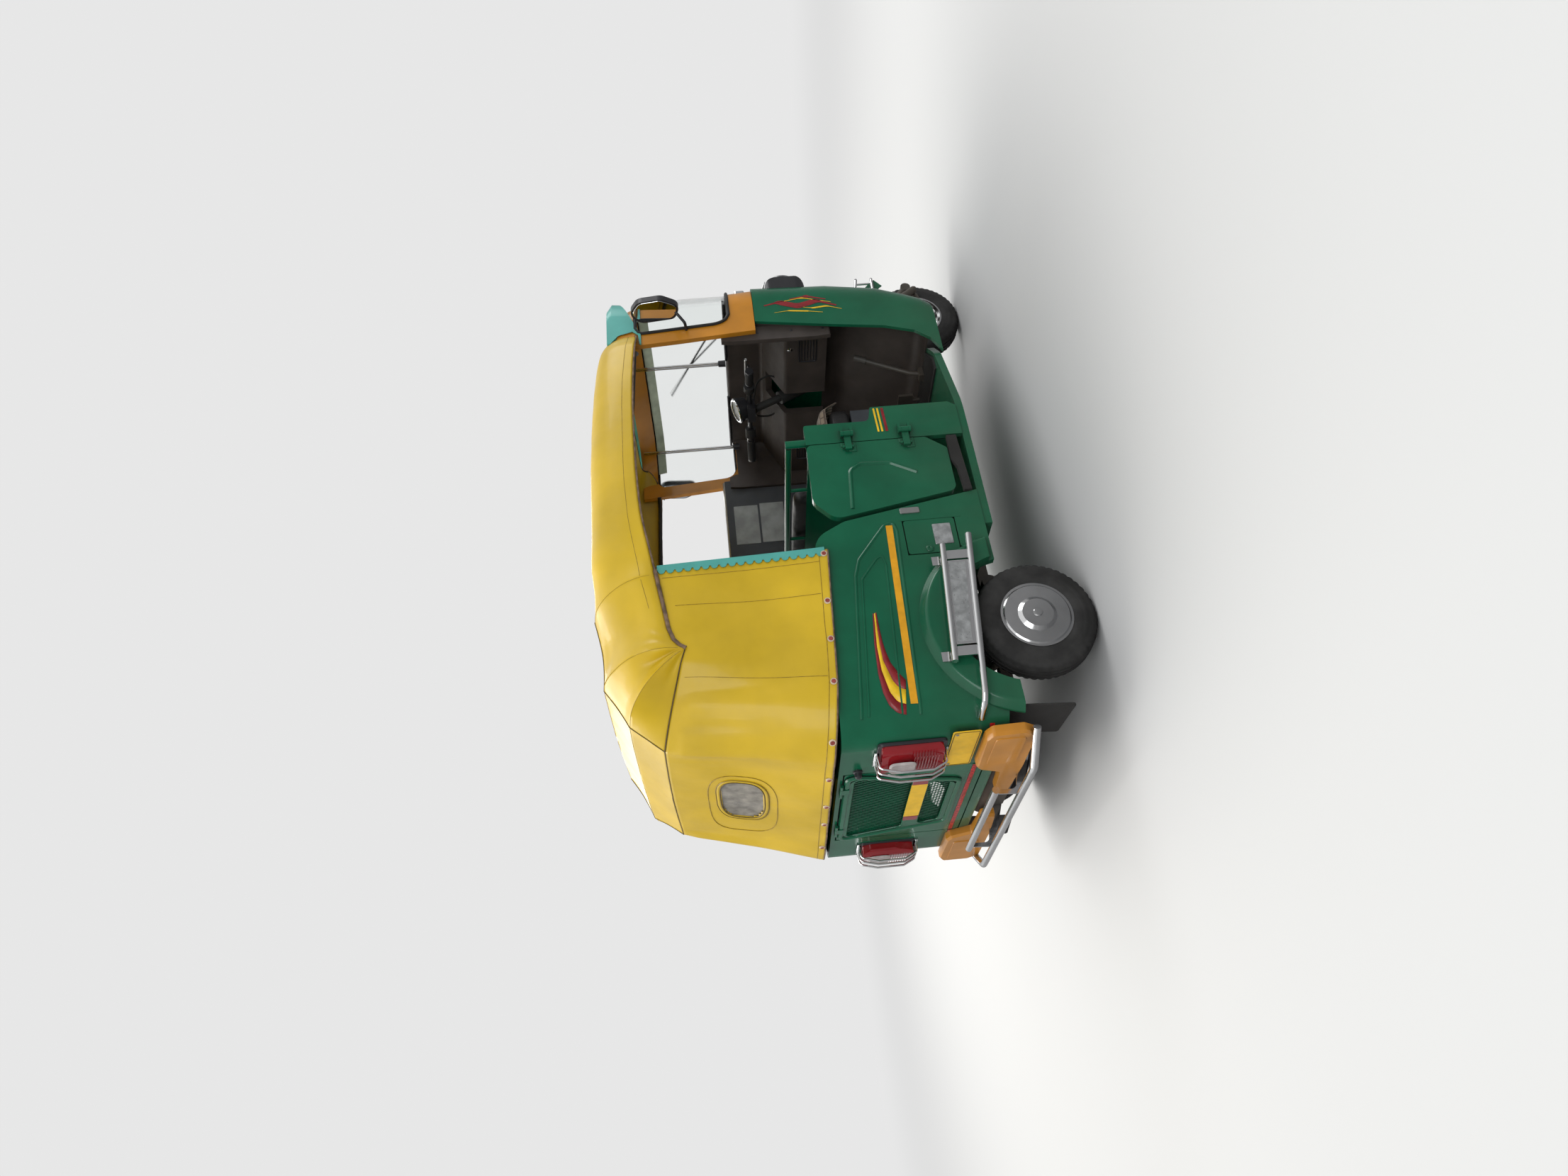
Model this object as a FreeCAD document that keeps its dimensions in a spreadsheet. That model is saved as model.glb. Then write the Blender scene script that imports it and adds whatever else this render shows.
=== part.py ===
import FreeCAD, Part
import math
import os
from types import SimpleNamespace

# Three-wheeled auto rickshaw with a folding hood, in millimetres.
# X points forward, Y to the left, Z up; the origin is on the ground below the middle.

V = FreeCAD.Vector

# Driving dimensions, one table for each group of pieces.
RUNNING_GEAR = {
    "rear_axle_x": -875, "wheel_base": 2000, "rear_track": 1150,
    "tyre_radius": 205, "tyre_width": 106, "bead_radius": 112, "tread_crown": 7, "tyre_flats": 60,
    "rim_width": 84, "rim_wall": 5, "hub_radius": 34, "cap_radius": 108, "cap_dome": 20,
    "drive_shaft_radius": 15, "joint_boot_radius": 34, "arm_pivot_x": -560,
    "arm_tube_radius": 22, "shock_radius": 30, "shock_rod_radius": 9,
    "shock_top_x": -800,
}
BODY_SHELL = {
    "body_half_width": 620, "body_wall": 24, "rear_face_x": -1255, "rear_corner_radius": 105,
    "body_top_z": 905, "arch_low_z": 322, "rear_bottom_z": 372, "arch_radius": 245,
    "arch_centre_x": -883, "arch_centre_z": 253, "arch_lip": 99, "arch_flare": 28,
    "shoulder_z": 791, "shoulder_x": -435, "shoulder_radius": 90, "front_foot_x": -342,
    "floor_z": 300, "floor_thickness": 28, "floor_front_x": 560, "floor_half_front": 505.7,
    "mat_thickness": 6, "lid_front_x": -455, "lid_length": 140, "lid_bottom_z": 407, "lid_height": 179,
    "lid_thickness": 14, "lid_gap": 4,
}
CAB_FRONT = {
    "cab_half_width": 520, "cab_bulge": 16, "apron_wall": 14,
    "apron_top_z": 1005, "apron_mid_x": 612, "wheel_arch_radius": 390, "wheel_arch_half": 232,
    "cowl_gap": 2, "cowl_wall": 22, "screen_bottom_z": 1108, "screen_top_z": 1500,
    "header_top_z": 1572, "pillar_foot_x": 618, "pillar_head_x": 586, "pillar_depth": 58,
    "screen_corner_radius": 70, "glass_thickness": 5, "glass_inset": 0.3,
    "dash_rear_x": 640, "dash_bottom_z": 700, "dash_top_z": 1128, "dash_shelf_x": 862,
    "dash_wall": 26, "column_slot_half": 64, "dash_cheek_y": 380, "toe_wall": 6,
    "pod_y": 415, "pod_z": 866, "pod_width": 150, "pod_height": 196, "pod_front_x": 962,
    "pod_rear_x": 845, "lens_thickness": 22, "lamp_side_y": 402, "lamp_z": 1052,
}
DOOR_SIDE = {
    "door_rear_x": -417, "door_front_x": -86, "door_bottom_z": 371, "door_top_z": 884,
    "door_thickness": 26, "door_hinge_x": -58, "door_hinge_y": -642,
    "hinge_pin_radius": 7, "hinge_low_z": 516, "hinge_high_z": 731, "hinge_height": 46,
    "side_panel_rear_x": -80, "side_panel_front_x": 78, "post_low_z": 800,
    "side_panel_step_z": 625, "side_panel_top_z": 884, "side_panel_neck": 92,
    "post_radius": 15, "post_top_z": 958, "rail_z": 946, "partition_x": -72,
    "partition_wall": 16, "partition_top_z": 872,
    "barrier_top_z": 1178, "barrier_wall": 18, "barrier_rear_x": 5,
}
SEATS = {
    "seat_box_length": 380, "seat_box_width": 560, "seat_box_top_z": 640,
    "seat_cushion_height": 120, "seat_cushion_over": 24, "driver_back_height": 150,
    "driver_back_depth": 60, "bench_front_x": -470, "bench_box_wall": 18, "bench_box_top_z": 590,
    "bench_cushion_height": 130, "bench_cushion_depth": 440, "bench_half_width": 556,
    "bench_back_height": 500, "bench_back_depth": 95, "bench_back_lean": 10,
    "deck_z": 858, "deck_wall": 16, "cushion_round": 34,
}
HOOD = {
    "hood_cloth": 9, "hood_pivot_x": -874, "hood_pivot_z": 1371, "curtain_low_z": 897,
    "curtain_low_half": 634, "curtain_high_half": 604, "curtain_low_x": -1272,
    "curtain_high_x": -1150, "curtain_front_x": -556, "curtain_rear_top_z": 1452,
    "curtain_front_top_z": 1450, "curtain_corner_low": 150, "curtain_corner_high": 175,
    "bow_radius": 9, "pivot_plate_radius": 40, "window_width": 350, "window_height": 165,
    "window_mid_y": -40, "window_mid_z": 1222, "window_corner": 60, "window_pane": 3,
    "visor_side_z": 1474, "visor_tip_z": 1592, "visor_top_z": 1612, "visor_reach": 30,
}
REAR_END = {
    "lid_half_width": 324, "lid_low_z": 412, "lid_top_z": 884, "engine_lid_wall": 22,
    "engine_lid_gap": 5, "grille_top_half": 292, "grille_foot_half": 190, "grille_top_z": 850,
    "grille_low_z": 505, "plate_low_z": 587, "plate_high_z": 641, "grille_bar": 5,
    "grille_pitch": 26, "grille_depth": 6,
    "engine_length": 380, "engine_width": 400, "engine_height": 280, "engine_x": -915,
    "silencer_radius": 54, "silencer_length": 420,
    "lamp_inner_y": 398, "lamp_width": 150, "lamp_low_z": 578, "lamp_height": 200,
    "lamp_depth": 46, "guard_rod_radius": 4, "guard_reach": 26,
    "plate_inner_y": 334, "plate_outer_y": 600, "plate_foot_z": 464, "plate_head_z": 555, "plate_wall": 3,
    "bumper_low_x": -1358, "bumper_low_z": 301, "bumper_low_half": 495, "bumper_low_back": 626,
    "bumper_end_x": -1275, "bumper_high_x": -1347, "bumper_high_z": 388,
    "bumper_high_half": 301, "bumper_tube": 13, "strut_depth": 6,
    "pad_inner_y": 331, "pad_outer_y": 612, "pad_low_z": 348, "pad_high_z": 462,
    "pad_depth": 34, "flap_x": -1192, "flap_width": 130, "flap_low_z": 150,
    "flap_top_z": 360.9, "flap_wall": 6,
    "side_bar_y": 682, "side_bar_tube": 11, "side_high_rear_x": -1051, "side_high_rear_z": 522,
    "side_high_front_x": -609, "side_high_front_z": 482, "side_low_rear_x": -1190,
    "side_low_rear_z": 453, "side_low_front_x": -572, "side_low_front_z": 386,
    "side_strap": 34, "side_plate_wall": 4,
}
STEERING = {
    "steer_foot_x": 1150, "handle_x": 650, "handle_z": 1040, "column_radius": 17,
    "head_tube_radius": 30, "head_low_z": 524, "head_high_z": 900, "head_bore_gap": 0.4,
    "fork_side_y": -110, "fork_tube_radius": 20, "link_front_x": 1238, "link_front_z": 246,
    "crown_z": 478, "mudguard_radius": 274, "mudguard_wall": 8, "mudguard_half": 84,
    "mudguard_front_angle": 38, "mudguard_rear_angle": 152, "mudguard_skirt": 46,
    "guard_front_x": 1371, "guard_tube": 7, "guard_high_z": 462,
    "guard_low_z": 388, "bar_half": 300, "bar_radius": 11, "grip_radius": 17,
    "grip_length": 112, "meter_radius": 58, "meter_height": 62,
}
TABLES = (RUNNING_GEAR, BODY_SHELL, CAB_FRONT, DOOR_SIDE, SEATS, HOOD, REAR_END, STEERING)

doc = FreeCAD.newDocument("AutoRickshaw")
sheet = doc.addObject("Spreadsheet::Sheet", "Sizes")
row = 0
for table in TABLES:
    for size_name, value in table.items():
        row += 1
        sheet.set(f"A{row}", size_name)
        sheet.set(f"B{row}", str(value))
        sheet.setAlias(f"B{row}", size_name)
doc.recompute()
S = SimpleNamespace(**{name: float(sheet.get(name)) for table in TABLES for name in table})

nodes = {}
PLANES = {
    "XY": (lambda a, b, c: V(a, b, c), V(0, 0, 1)),
    "XZ": (lambda a, b, c: V(a, c, b), V(0, 1, 0)),
    "YZ": (lambda a, b, c: V(c, a, b), V(1, 0, 0)),
}


# Outlines

def corner_path(points, closed=True):
    """Lines and tangent arcs through corners given as (a, b) or (a, b, radius)."""
    count = len(points)
    stops = []
    for i, corner in enumerate(points):
        here = V(corner[0], corner[1], 0)
        radius = corner[2] if len(corner) > 2 else 0
        if radius <= 0 or (not closed and i in (0, count - 1)):
            stops.append((here, None, here))
            continue
        before = V(*points[i - 1][:2], 0) - here
        after = V(*points[(i + 1) % count][:2], 0) - here
        to_before, to_after = V(before).normalize(), V(after).normalize()
        half_angle = to_before.getAngle(to_after) / 2
        reach = min(radius / math.tan(half_angle), 0.49 * before.Length, 0.49 * after.Length)
        radius = reach * math.tan(half_angle)
        centre = here + (to_before + to_after).normalize() * (radius / math.sin(half_angle))
        middle = centre + (here - centre).normalize() * radius
        stops.append((here + to_before * reach, middle, here + to_after * reach))
    spans = []
    for i, (start, middle, end) in enumerate(stops):
        if middle is not None:
            spans.append((start, middle, end))
        if closed or i < count - 1:
            following = stops[(i + 1) % count][0]
            if (following - end).Length > 1e-6:
                spans.append((end, None, following))
    return spans


def span_edges(spans, plane="XY", offset=0.0):
    """The spans as edges on a plane at an offset along its normal."""
    lift = PLANES[plane][0]
    edges = []
    for start, middle, end in spans:
        a, c = lift(start.x, start.y, offset), lift(end.x, end.y, offset)
        if middle is None:
            edges.append(Part.LineSegment(a, c).toShape())
        else:
            edges.append(Part.Arc(a, lift(middle.x, middle.y, offset), c).toShape())
    return edges


def prism(plane, points, start, end):
    """A closed outline on a plane, drawn out from one coordinate to another."""
    face = Part.Face(Part.Wire(span_edges(corner_path(points), plane, start)))
    return face.extrude(PLANES[plane][1] * (end - start))


def band(outer, inner, plane, offset):
    """A closed wire round the strip between two open paths of like corners."""
    out_edges = span_edges(corner_path(outer, closed=False), plane, offset)
    in_edges = span_edges(corner_path(inner[::-1], closed=False), plane, offset)
    lift = PLANES[plane][0]
    ends = [lift(*corner[:2], offset) for corner in (outer[-1], inner[-1], inner[0], outer[0])]
    caps = [Part.makeLine(ends[0], ends[1]), Part.makeLine(ends[2], ends[3])]
    return Part.Wire(out_edges + [caps[0]] + in_edges + [caps[1]])


def loft(wires):
    return Part.makeLoft(wires, True, True)


def tube(points, radius, bend=40.0):
    """A round bar along straight runs that tangent arcs join."""
    corners = [V(*point) for point in points]
    edges, start = [], corners[0]
    for before, here, after in zip(corners, corners[1:], corners[2:]):
        to_before, to_after = (before - here).normalize(), (after - here).normalize()
        half_angle = to_before.getAngle(to_after) / 2
        limit = 0.45 * min((before - here).Length, (after - here).Length)
        reach = min(bend / math.tan(half_angle), limit)
        arc_radius = reach * math.tan(half_angle)
        centre = here + (to_before + to_after).normalize() * (arc_radius / math.sin(half_angle))
        middle = centre + (here - centre).normalize() * arc_radius
        edges.append(Part.makeLine(start, here + to_before * reach))
        edges.append(Part.Arc(here + to_before * reach, middle, here + to_after * reach).toShape())
        start = here + to_after * reach
    edges.append(Part.makeLine(start, corners[-1]))
    heading = (edges[0].Vertexes[1].Point - edges[0].Vertexes[0].Point)
    ring = Part.Wire(Part.makeCircle(radius, corners[0], heading))
    return Part.Wire(edges).makePipeShell([ring], True, False)


def rod(start, end, radius):
    """A straight round bar between two points."""
    start, end = V(*start), V(*end)
    return Part.makeCylinder(radius, (end - start).Length, start, end - start)


def block(low, high):
    return Part.makeBox(high[0] - low[0], high[1] - low[1], high[2] - low[2], V(*low))


def mirrored(shape):
    """The same piece on the other side of the vehicle."""
    return shape.mirror(V(0, 0, 0), V(0, 1, 0))


def joined(shapes):
    return shapes[0].fuse(shapes[1:]).removeSplitter()


# Document objects

def feature(name, shape):
    """A sub-part whose form is worked out from the sheet's sizes."""
    piece = doc.addObject("Part::Feature", name)
    if shape.ShapeType == "Compound" and len(shape.Solids) == 1:
        shape = shape.Solids[0]
    piece.Shape = shape
    piece.Placement = FreeCAD.Placement()
    nodes[name] = piece
    return piece


def origin_plane(body, plane):
    role = plane + "_Plane"
    return next(item for item in body.Origin.OriginFeatures if item.Role == role)


def sketch_on(body, name, plane, points, offset="0 mm"):
    """A sketch of lines and arcs on one of the body's own origin planes."""
    sketch = body.newObject("Sketcher::SketchObject", name)
    sketch.AttachmentSupport = [(origin_plane(body, plane), "")]
    sketch.MapMode = "FlatFace"
    sketch.setExpression(".AttachmentOffset.Base.z", offset)
    for start, middle, end in corner_path(points):
        if middle is None:
            sketch.addGeometry(Part.LineSegment(start, end), False)
        else:
            sketch.addGeometry(Part.Arc(start, middle, end), False)
    return sketch


def new_body(name):
    body = doc.addObject("PartDesign::Body", name)
    nodes[name] = body
    return body


def pad(name, plane, points, offset, length):
    """A body padded from an outline; offset and length are sheet expressions."""
    body = new_body(name)
    sketch = sketch_on(body, name + "_outline", plane, points, offset)
    solid = body.newObject("PartDesign::Pad", name + "_pad")
    solid.Profile = sketch
    solid.setExpression("Length", length)
    sketch.Visibility = False
    return body


def revolved(name, points):
    """A body turned about the Y axis from an outline of (y, radius) corners."""
    body = new_body(name)
    sketch = sketch_on(body, name + "_section", "YZ", points)
    turned = body.newObject("PartDesign::Revolution", name + "_turn")
    turned.Profile = sketch
    turned.ReferenceAxis = (sketch, ["H_Axis"])
    turned.Angle = 360
    return body


def place(piece, along=None, across=None, up=None):
    for letter, expression in (("x", along), ("y", across), ("z", up)):
        if expression is not None:
            piece.setExpression(".Placement.Base." + letter, expression)


# Values that several pieces share
front_axle_x = S.rear_axle_x + S.wheel_base
hub_z = S.tyre_radius
wheel_y = S.rear_track / 2
steer_slope = (S.steer_foot_x - S.handle_x) / S.handle_z
seat_rear = S.partition_x + S.partition_wall + 40
seat_front = seat_rear + S.seat_box_length
firewall_x = S.bench_front_x - S.bench_cushion_depth - 50
rail_top = S.floor_z - S.floor_thickness
barrier_front = S.apron_mid_x + 28
SEAT = 0.3      # gap between pieces that sit on one another


def steer_x(z):
    """Where the raked steering axis passes a height."""
    return S.steer_foot_x - steer_slope * z


# Wheels
def tyre_section():
    side, tread = S.tyre_width / 2, S.tyre_radius
    half = [(S.rim_width / 2, S.bead_radius), (S.rim_width / 2 + 1.5, S.bead_radius + 10.5),
            (side - 1.5, S.bead_radius + 22), (side, S.bead_radius + 40),
            (side - 2.5, tread - S.tread_crown - 20), (side - 9, tread - S.tread_crown),
            (side * 0.45, tread)]
    return [(-across, radius) for across, radius in half] + half[::-1]


def flat_sided_ring(section, sides):
    """Outline of (y, radius) corners turned about the Y axis in flats."""
    rings = []
    for across, radius in section:
        turns = [2 * math.pi * (k / sides - 0.25) for k in range(sides + 1)]
        rings.append([V(radius * math.cos(turn), across, radius * math.sin(turn)) for turn in turns])
    faces = []
    for ring, following in zip(rings, rings[1:] + rings[:1]):
        for k in range(sides):
            corners = [ring[k], ring[k + 1], following[k + 1], following[k], ring[k]]
            faces.append(Part.Face(Part.makePolygon(corners)))
    return Part.Solid(Part.Shell(faces))


def rim_section(face):
    """Rim, disc and domed cap; face is -1 or 1 for the side that shows."""
    half, bead, wall = S.rim_width / 2, S.bead_radius, S.rim_wall
    seat, flange, disc = bead - 0.3, bead + 9, 10
    section = [
        (-half, 0), (-half, S.hub_radius), (-disc, S.hub_radius + 6), (-disc, bead - 28),
        (4 - half, bead - wall - 3), (-half - 7, bead + 2), (-half - 7, flange),
        (-half - 3.4, flange), (-half - 0.4, seat), (half + 0.4, seat), (half + 3.4, flange),
        (half + 7, flange), (half + 7, bead + 1), (half + 11, S.cap_radius),
        (half + 11, S.cap_radius * 0.6), (half + S.cap_dome, S.cap_radius * 0.48),
        (half + S.cap_dome, 0),
    ]
    return [(face * across, radius) for across, radius in section]


WHEELS = (
    # name, face that shows, distance along, distance across
    ("front", 1, "Sizes.rear_axle_x + Sizes.wheel_base", "0 mm"),
    ("rear_right", -1, "Sizes.rear_axle_x", "-Sizes.rear_track / 2"),
    ("rear_left", 1, "Sizes.rear_axle_x", "Sizes.rear_track / 2"),
)
tyre = flat_sided_ring(tyre_section(), round(S.tyre_flats))
for wheel, face, along, across in WHEELS:
    for piece in (feature(wheel + "_tyre", tyre),
                  revolved(wheel + "_rim", rim_section(face))):
        place(piece, along, across, "Sizes.tyre_radius")


# Rear body
def tub_ring():
    """The body's wall in plan, from one front foot round the rear to the other."""
    half, wall, back, turn = (S.body_half_width, S.body_wall, S.rear_face_x,
                              S.rear_corner_radius)
    front = S.front_foot_x
    outer = [(front, -half), (back, -half, turn), (back, half, turn), (front, half)]
    inner = [(front, -half + wall), (back + wall, -half + wall, turn - wall),
             (back + wall, half - wall, turn - wall), (front, half - wall)]
    wire = band(outer, inner, "XY", S.floor_z)
    return Part.Face(wire).extrude(V(0, 0, S.body_top_z - S.floor_z))


def tub_profile():
    """The body's side view, with its shoulder; the wheel arch is cut apart."""
    return [
        (S.front_foot_x, S.floor_z + SEAT), (S.shoulder_x, S.shoulder_z, 60),
        (S.shoulder_x - 62, S.body_top_z, S.shoulder_radius), (S.rear_face_x - 10, S.body_top_z),
        (S.rear_face_x - 10, S.rear_bottom_z, 20), (S.arch_centre_x - S.arch_radius, 361, 30),
        (S.arch_centre_x, 361), (S.arch_centre_x, S.floor_z + SEAT),
    ]


def quarter_panel():
    """Right-hand side wall and rear corner, with the flared wheel arch."""
    reach = S.body_half_width + S.arch_flare
    side = tub_ring().common(prism("XZ", tub_profile(), -reach, 0))
    seam = S.lid_half_width + S.engine_lid_gap
    side = side.cut(block((S.rear_face_x - 50, -seam, 0), (S.rear_face_x + 120, 0, 2000)))
    arch_at = V(S.arch_centre_x, -reach, S.arch_centre_z)
    wall_y, rim, foot_r = -S.body_half_width, S.arch_radius + S.arch_lip - 22, S.arch_radius + S.arch_lip
    section = [(S.arch_radius - 20, -reach), (rim, -reach, 16), (foot_r, wall_y, 10),
               (foot_r, wall_y + 6), (S.arch_radius - 20, wall_y + 6)]
    outline = Part.Face(Part.Wire(span_edges(corner_path(section), "XY")))
    lip = outline.revolve(V(0, 0, 0), V(0, 1, 0), 360)
    lip.translate(V(S.arch_centre_x, 0, S.arch_centre_z))
    foot = block((S.arch_centre_x - 500, -reach, -S.arch_radius),
                 (S.arch_centre_x + 500, 0, S.arch_low_z))
    hole = Part.makeCylinder(S.arch_radius, 200, arch_at - V(0, 60, 0), V(0, 1, 0))
    side = side.fuse(lip.cut(foot)).cut(hole)
    lid_low = S.lid_bottom_z - S.lid_gap
    opening = block((S.lid_front_x - S.lid_length - S.lid_gap, -reach, lid_low),
                    (S.lid_front_x + S.lid_gap, -S.body_half_width + S.lid_thickness + SEAT,
                     lid_low + S.lid_height + 2 * S.lid_gap))
    return side.cut(opening)


right_quarter = quarter_panel()
feature("quarter_panel_right", right_quarter)
feature("quarter_panel_left", mirrored(right_quarter))

pad("fuel_lid", "XZ",
    [(S.lid_front_x, S.lid_bottom_z, 10), (S.lid_front_x, S.lid_bottom_z + S.lid_height, 10),
     (S.lid_front_x - S.lid_length, S.lid_bottom_z + S.lid_height, 10),
     (S.lid_front_x - S.lid_length, S.lid_bottom_z, 10)],
    "Sizes.body_half_width - Sizes.lid_thickness", "Sizes.lid_thickness")


# Floor and chassis
def floor_outline(inset=0.0):
    half, front = S.body_half_width - 4 - inset, S.floor_front_x - inset
    nose = S.floor_half_front - inset
    rear = S.bench_front_x - S.bench_box_wall + inset
    return [(rear, -half), (S.side_panel_front_x, -half, 300), (front - 120, -nose, 120),
            (front, -nose + 90, 60), (front, nose - 90, 60), (front - 120, nose, 120),
            (S.side_panel_front_x, half, 300), (rear, half)]


def neck_beam():
    """Beam that runs forward under the floor and turns up to the steering head."""
    low, top, rear = rail_top - RAIL_HEIGHT, rail_top - SEAT, S.floor_front_x - 110
    turn, high = S.floor_front_x + 112, S.head_low_z + 90
    return prism("XZ", [(rear, low), (turn + 40, low, 60), (steer_x(S.head_low_z) - 10, S.head_low_z),
                        (steer_x(high) - 20, high), (turn, top, 60), (rear, top)], -30, 30)


RAIL_HEIGHT = 42
mat_side, mat_front = S.floor_half_front - 16, S.floor_front_x - 15
mat = prism("XY", [(seat_front + 4, -mat_side), (S.floor_front_x - 130, -mat_side),
                   (mat_front, -mat_side + 88), (mat_front, mat_side - 88),
                   (S.floor_front_x - 130, mat_side), (seat_front + 4, mat_side)],
            S.floor_z + SEAT, S.floor_z + SEAT + S.mat_thickness)
feature("floor_pan", prism("XY", floor_outline(), rail_top, S.floor_z))
feature("floor_mat", mat)


def chassis():
    """Two rails, cross members and the sloping neck that carries the steering head."""
    low, high = rail_top - RAIL_HEIGHT, rail_top - SEAT
    rails = [block((S.rear_face_x + 60, y - 20, low), (S.floor_front_x - 80, y + 20, high))
             for y in (-250, 250)]
    crosses = [block((x - 20, -270, low), (x + 20, 270, high))
               for x in (S.rear_face_x + 80, S.engine_x, S.arm_pivot_x, -60,
                        S.floor_front_x - 100)]
    head_from = (steer_x(S.head_low_z), 0, S.head_low_z)
    head_to = (steer_x(S.head_high_z), 0, S.head_high_z)
    frame = joined(rails + crosses + [neck_beam(), rod(head_from, head_to, S.head_tube_radius)])
    return frame.cut(rod((steer_x(0), 0, 0), (steer_x(1100), 0, 1100),
                         S.column_radius + S.head_bore_gap))


feature("chassis_frame", chassis())


# Cab front
NOSE = (
    # height, how far forward the middle reaches, where the side edge starts, corner radius
    (262, 838, 440, 250),
    (300, 852, 512, 262),
    (360, 872, 562, 280),
    (480, 926, 600, 300),
    (690, 964, 628, 300),
    (1005, 962, 676, 300),
)


def nose_path(front, start, turn, half, inset=0.0):
    """The nose in plan as an open path of lines and arcs."""
    half, front, turn = half - inset, front - inset, max(turn - inset, 20)
    return [(start, -half), (front - S.cab_bulge, -half, turn), (front, 0, 900),
            (front - S.cab_bulge, half, turn), (start, half)]


def nose_ring(front, start, turn, half, inset=0.0):
    """The same nose closed behind, as the corners of a solid's outline."""
    rear, side = start - 200, half - inset
    return nose_path(front, start, turn, half, inset) + [(rear, side), (rear, -side)]


def nose_core(rows, half, inset=0.0):
    """The solid room inside a nose outline, for cutting what is fitted to it."""
    return loft([Part.Wire(span_edges(corner_path(nose_ring(front, start, turn, half, inset)),
                                      "XY", z)) for z, front, start, turn in rows])


def nose_shell(rows, wall, half, inset=0.0):
    wires = [band(nose_path(front, start, turn, half, inset),
                  nose_path(front, start, turn, half, inset + wall), "XY", z)
             for z, front, start, turn in rows]
    return loft(wires)


def front_apron():
    """Green nose panel, open behind and cut away round the front wheel."""
    shell = nose_shell(NOSE, S.apron_wall, S.cab_half_width)
    arch = Part.makeCylinder(S.wheel_arch_radius, 2 * S.wheel_arch_half,
                             V(front_axle_x, -S.wheel_arch_half, hub_z), V(0, 1, 0))
    column = rod((steer_x(300), 0, 300), (steer_x(1100), 0, 1100), S.head_tube_radius + 8)
    return shell.cut(arch).cut(column)


feature("front_apron", front_apron())

SCREEN = (
    # height, how far forward the middle reaches, where the side edge starts, corner radius
    (S.apron_top_z + S.cowl_gap, 962, 626, 300),
    (1110, 952, 618, 300),
    (1310, 958, 600, 300),
    (1500, 900, 586, 280),
    (S.header_top_z, 840, 580, 270),
)


def screen_profile(inset):
    """The windscreen's opening seen from the side; its front runs past the nose."""
    low, high = S.screen_bottom_z + inset, S.screen_top_z - inset
    foot = S.pillar_foot_x + S.pillar_depth + inset
    head = S.pillar_head_x + S.pillar_depth + inset
    return [(foot, low, S.screen_corner_radius), (1100, low), (1100, high),
            (head, high, S.screen_corner_radius * 0.5)]


def front_cowl():
    shell = nose_shell(SCREEN, S.cowl_wall, S.cab_half_width)
    return shell.cut(prism("XZ", screen_profile(0), -700, 700))


feature("front_cowl", front_cowl())

glass_shell = nose_shell(SCREEN, S.glass_thickness, S.cab_half_width, S.glass_inset + 4)
feature("windscreen_glass",
        glass_shell.common(prism("XZ", screen_profile(S.glass_inset), -700, 700)))


DASH_MEETS = ((S.apron_top_z + S.cowl_gap, 962, 676, 300),)


def dashboard():
    """Moulded dash across the cab with a slot for the steering column and pillar trims."""
    wall, back = S.dash_wall, S.dash_rear_x
    profile = [
        (back + 40, S.dash_bottom_z), (back + 40, 880, 20), (S.dash_shelf_x, 968, 20),
        (S.dash_shelf_x, S.dash_top_z, 14), (930, S.dash_top_z), (930, S.dash_top_z - wall),
        (S.dash_shelf_x + wall, S.dash_top_z - wall), (S.dash_shelf_x + wall, 950, 14),
        (back + 40 + wall, 866, 14), (back + 40 + wall, S.dash_bottom_z),
    ]
    panel = prism("XZ", profile, -S.cab_half_width, S.cab_half_width)
    low = nose_core(NOSE[3:5] + DASH_MEETS, S.cab_half_width, S.apron_wall + SEAT)
    high = nose_core(SCREEN[:3], S.cab_half_width, S.cowl_wall + SEAT)
    slot = block((back - 60, -S.column_slot_half, 600), (back + 190, S.column_slot_half, 1060))
    trims = [nose_shell(NOSE[3:5] + DASH_MEETS, wall / 2, S.cab_half_width, S.apron_wall + SEAT),
             nose_shell(SCREEN[:2], wall / 2, S.cab_half_width, S.cowl_wall + SEAT)]
    front = back + 260
    sides = [block((barrier_front + SEAT, low_y, S.dash_bottom_z), (front, high_y, S.screen_bottom_z - 2))
             for low_y, high_y in ((-S.cab_half_width, -S.dash_cheek_y),
                                   (S.dash_cheek_y, S.cab_half_width))]
    cheeks = [trim.common(side) for trim in trims for side in sides]
    return joined([panel.common(low), panel.common(high)] + cheeks).cut(slot)


feature("dashboard", dashboard())


def barrier_panel(gap=0.0):
    """Upright side wall that closes the driver's left doorway."""
    front, out = barrier_front + gap, S.cab_half_width - S.apron_wall - 3
    rear, rear_out, wall = S.barrier_rear_x, S.body_half_width - S.body_wall - 3, S.barrier_wall
    return prism("XY", [(rear, rear_out - wall - gap), (front, out - wall - gap),
                        (front, out + gap), (rear, rear_out + gap)],
                 S.floor_z + SEAT, S.barrier_top_z)


def toe_board():
    """Board in front of the driver's feet, from the floor up behind the dash."""
    wall, foot_x, foot_z = S.toe_wall, S.floor_front_x - 12, S.floor_z + SEAT
    knee_x, knee_z, head_x = steer_x(S.head_low_z) - 118, S.head_low_z + 90, S.dash_rear_x + 108
    head_z = S.dash_bottom_z - SEAT
    inner = [(foot_x, foot_z + wall), (S.floor_front_x + 76, foot_z + wall, 60),
             (knee_x, knee_z, 60), (head_x, head_z)]
    outer = [(foot_x, foot_z), (S.floor_front_x + 79, foot_z, 60 + wall),
             (knee_x + wall * 1.1, knee_z, 60 - wall), (head_x + wall, head_z)]
    board = Part.Face(band(outer, inner, "XZ", -S.cab_half_width)).extrude(V(0, 2 * S.cab_half_width, 0))
    rows = NOSE[1:5] + DASH_MEETS
    return board.common(nose_core(rows, S.cab_half_width, S.apron_wall + SEAT)).cut(barrier_panel(SEAT))


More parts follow.
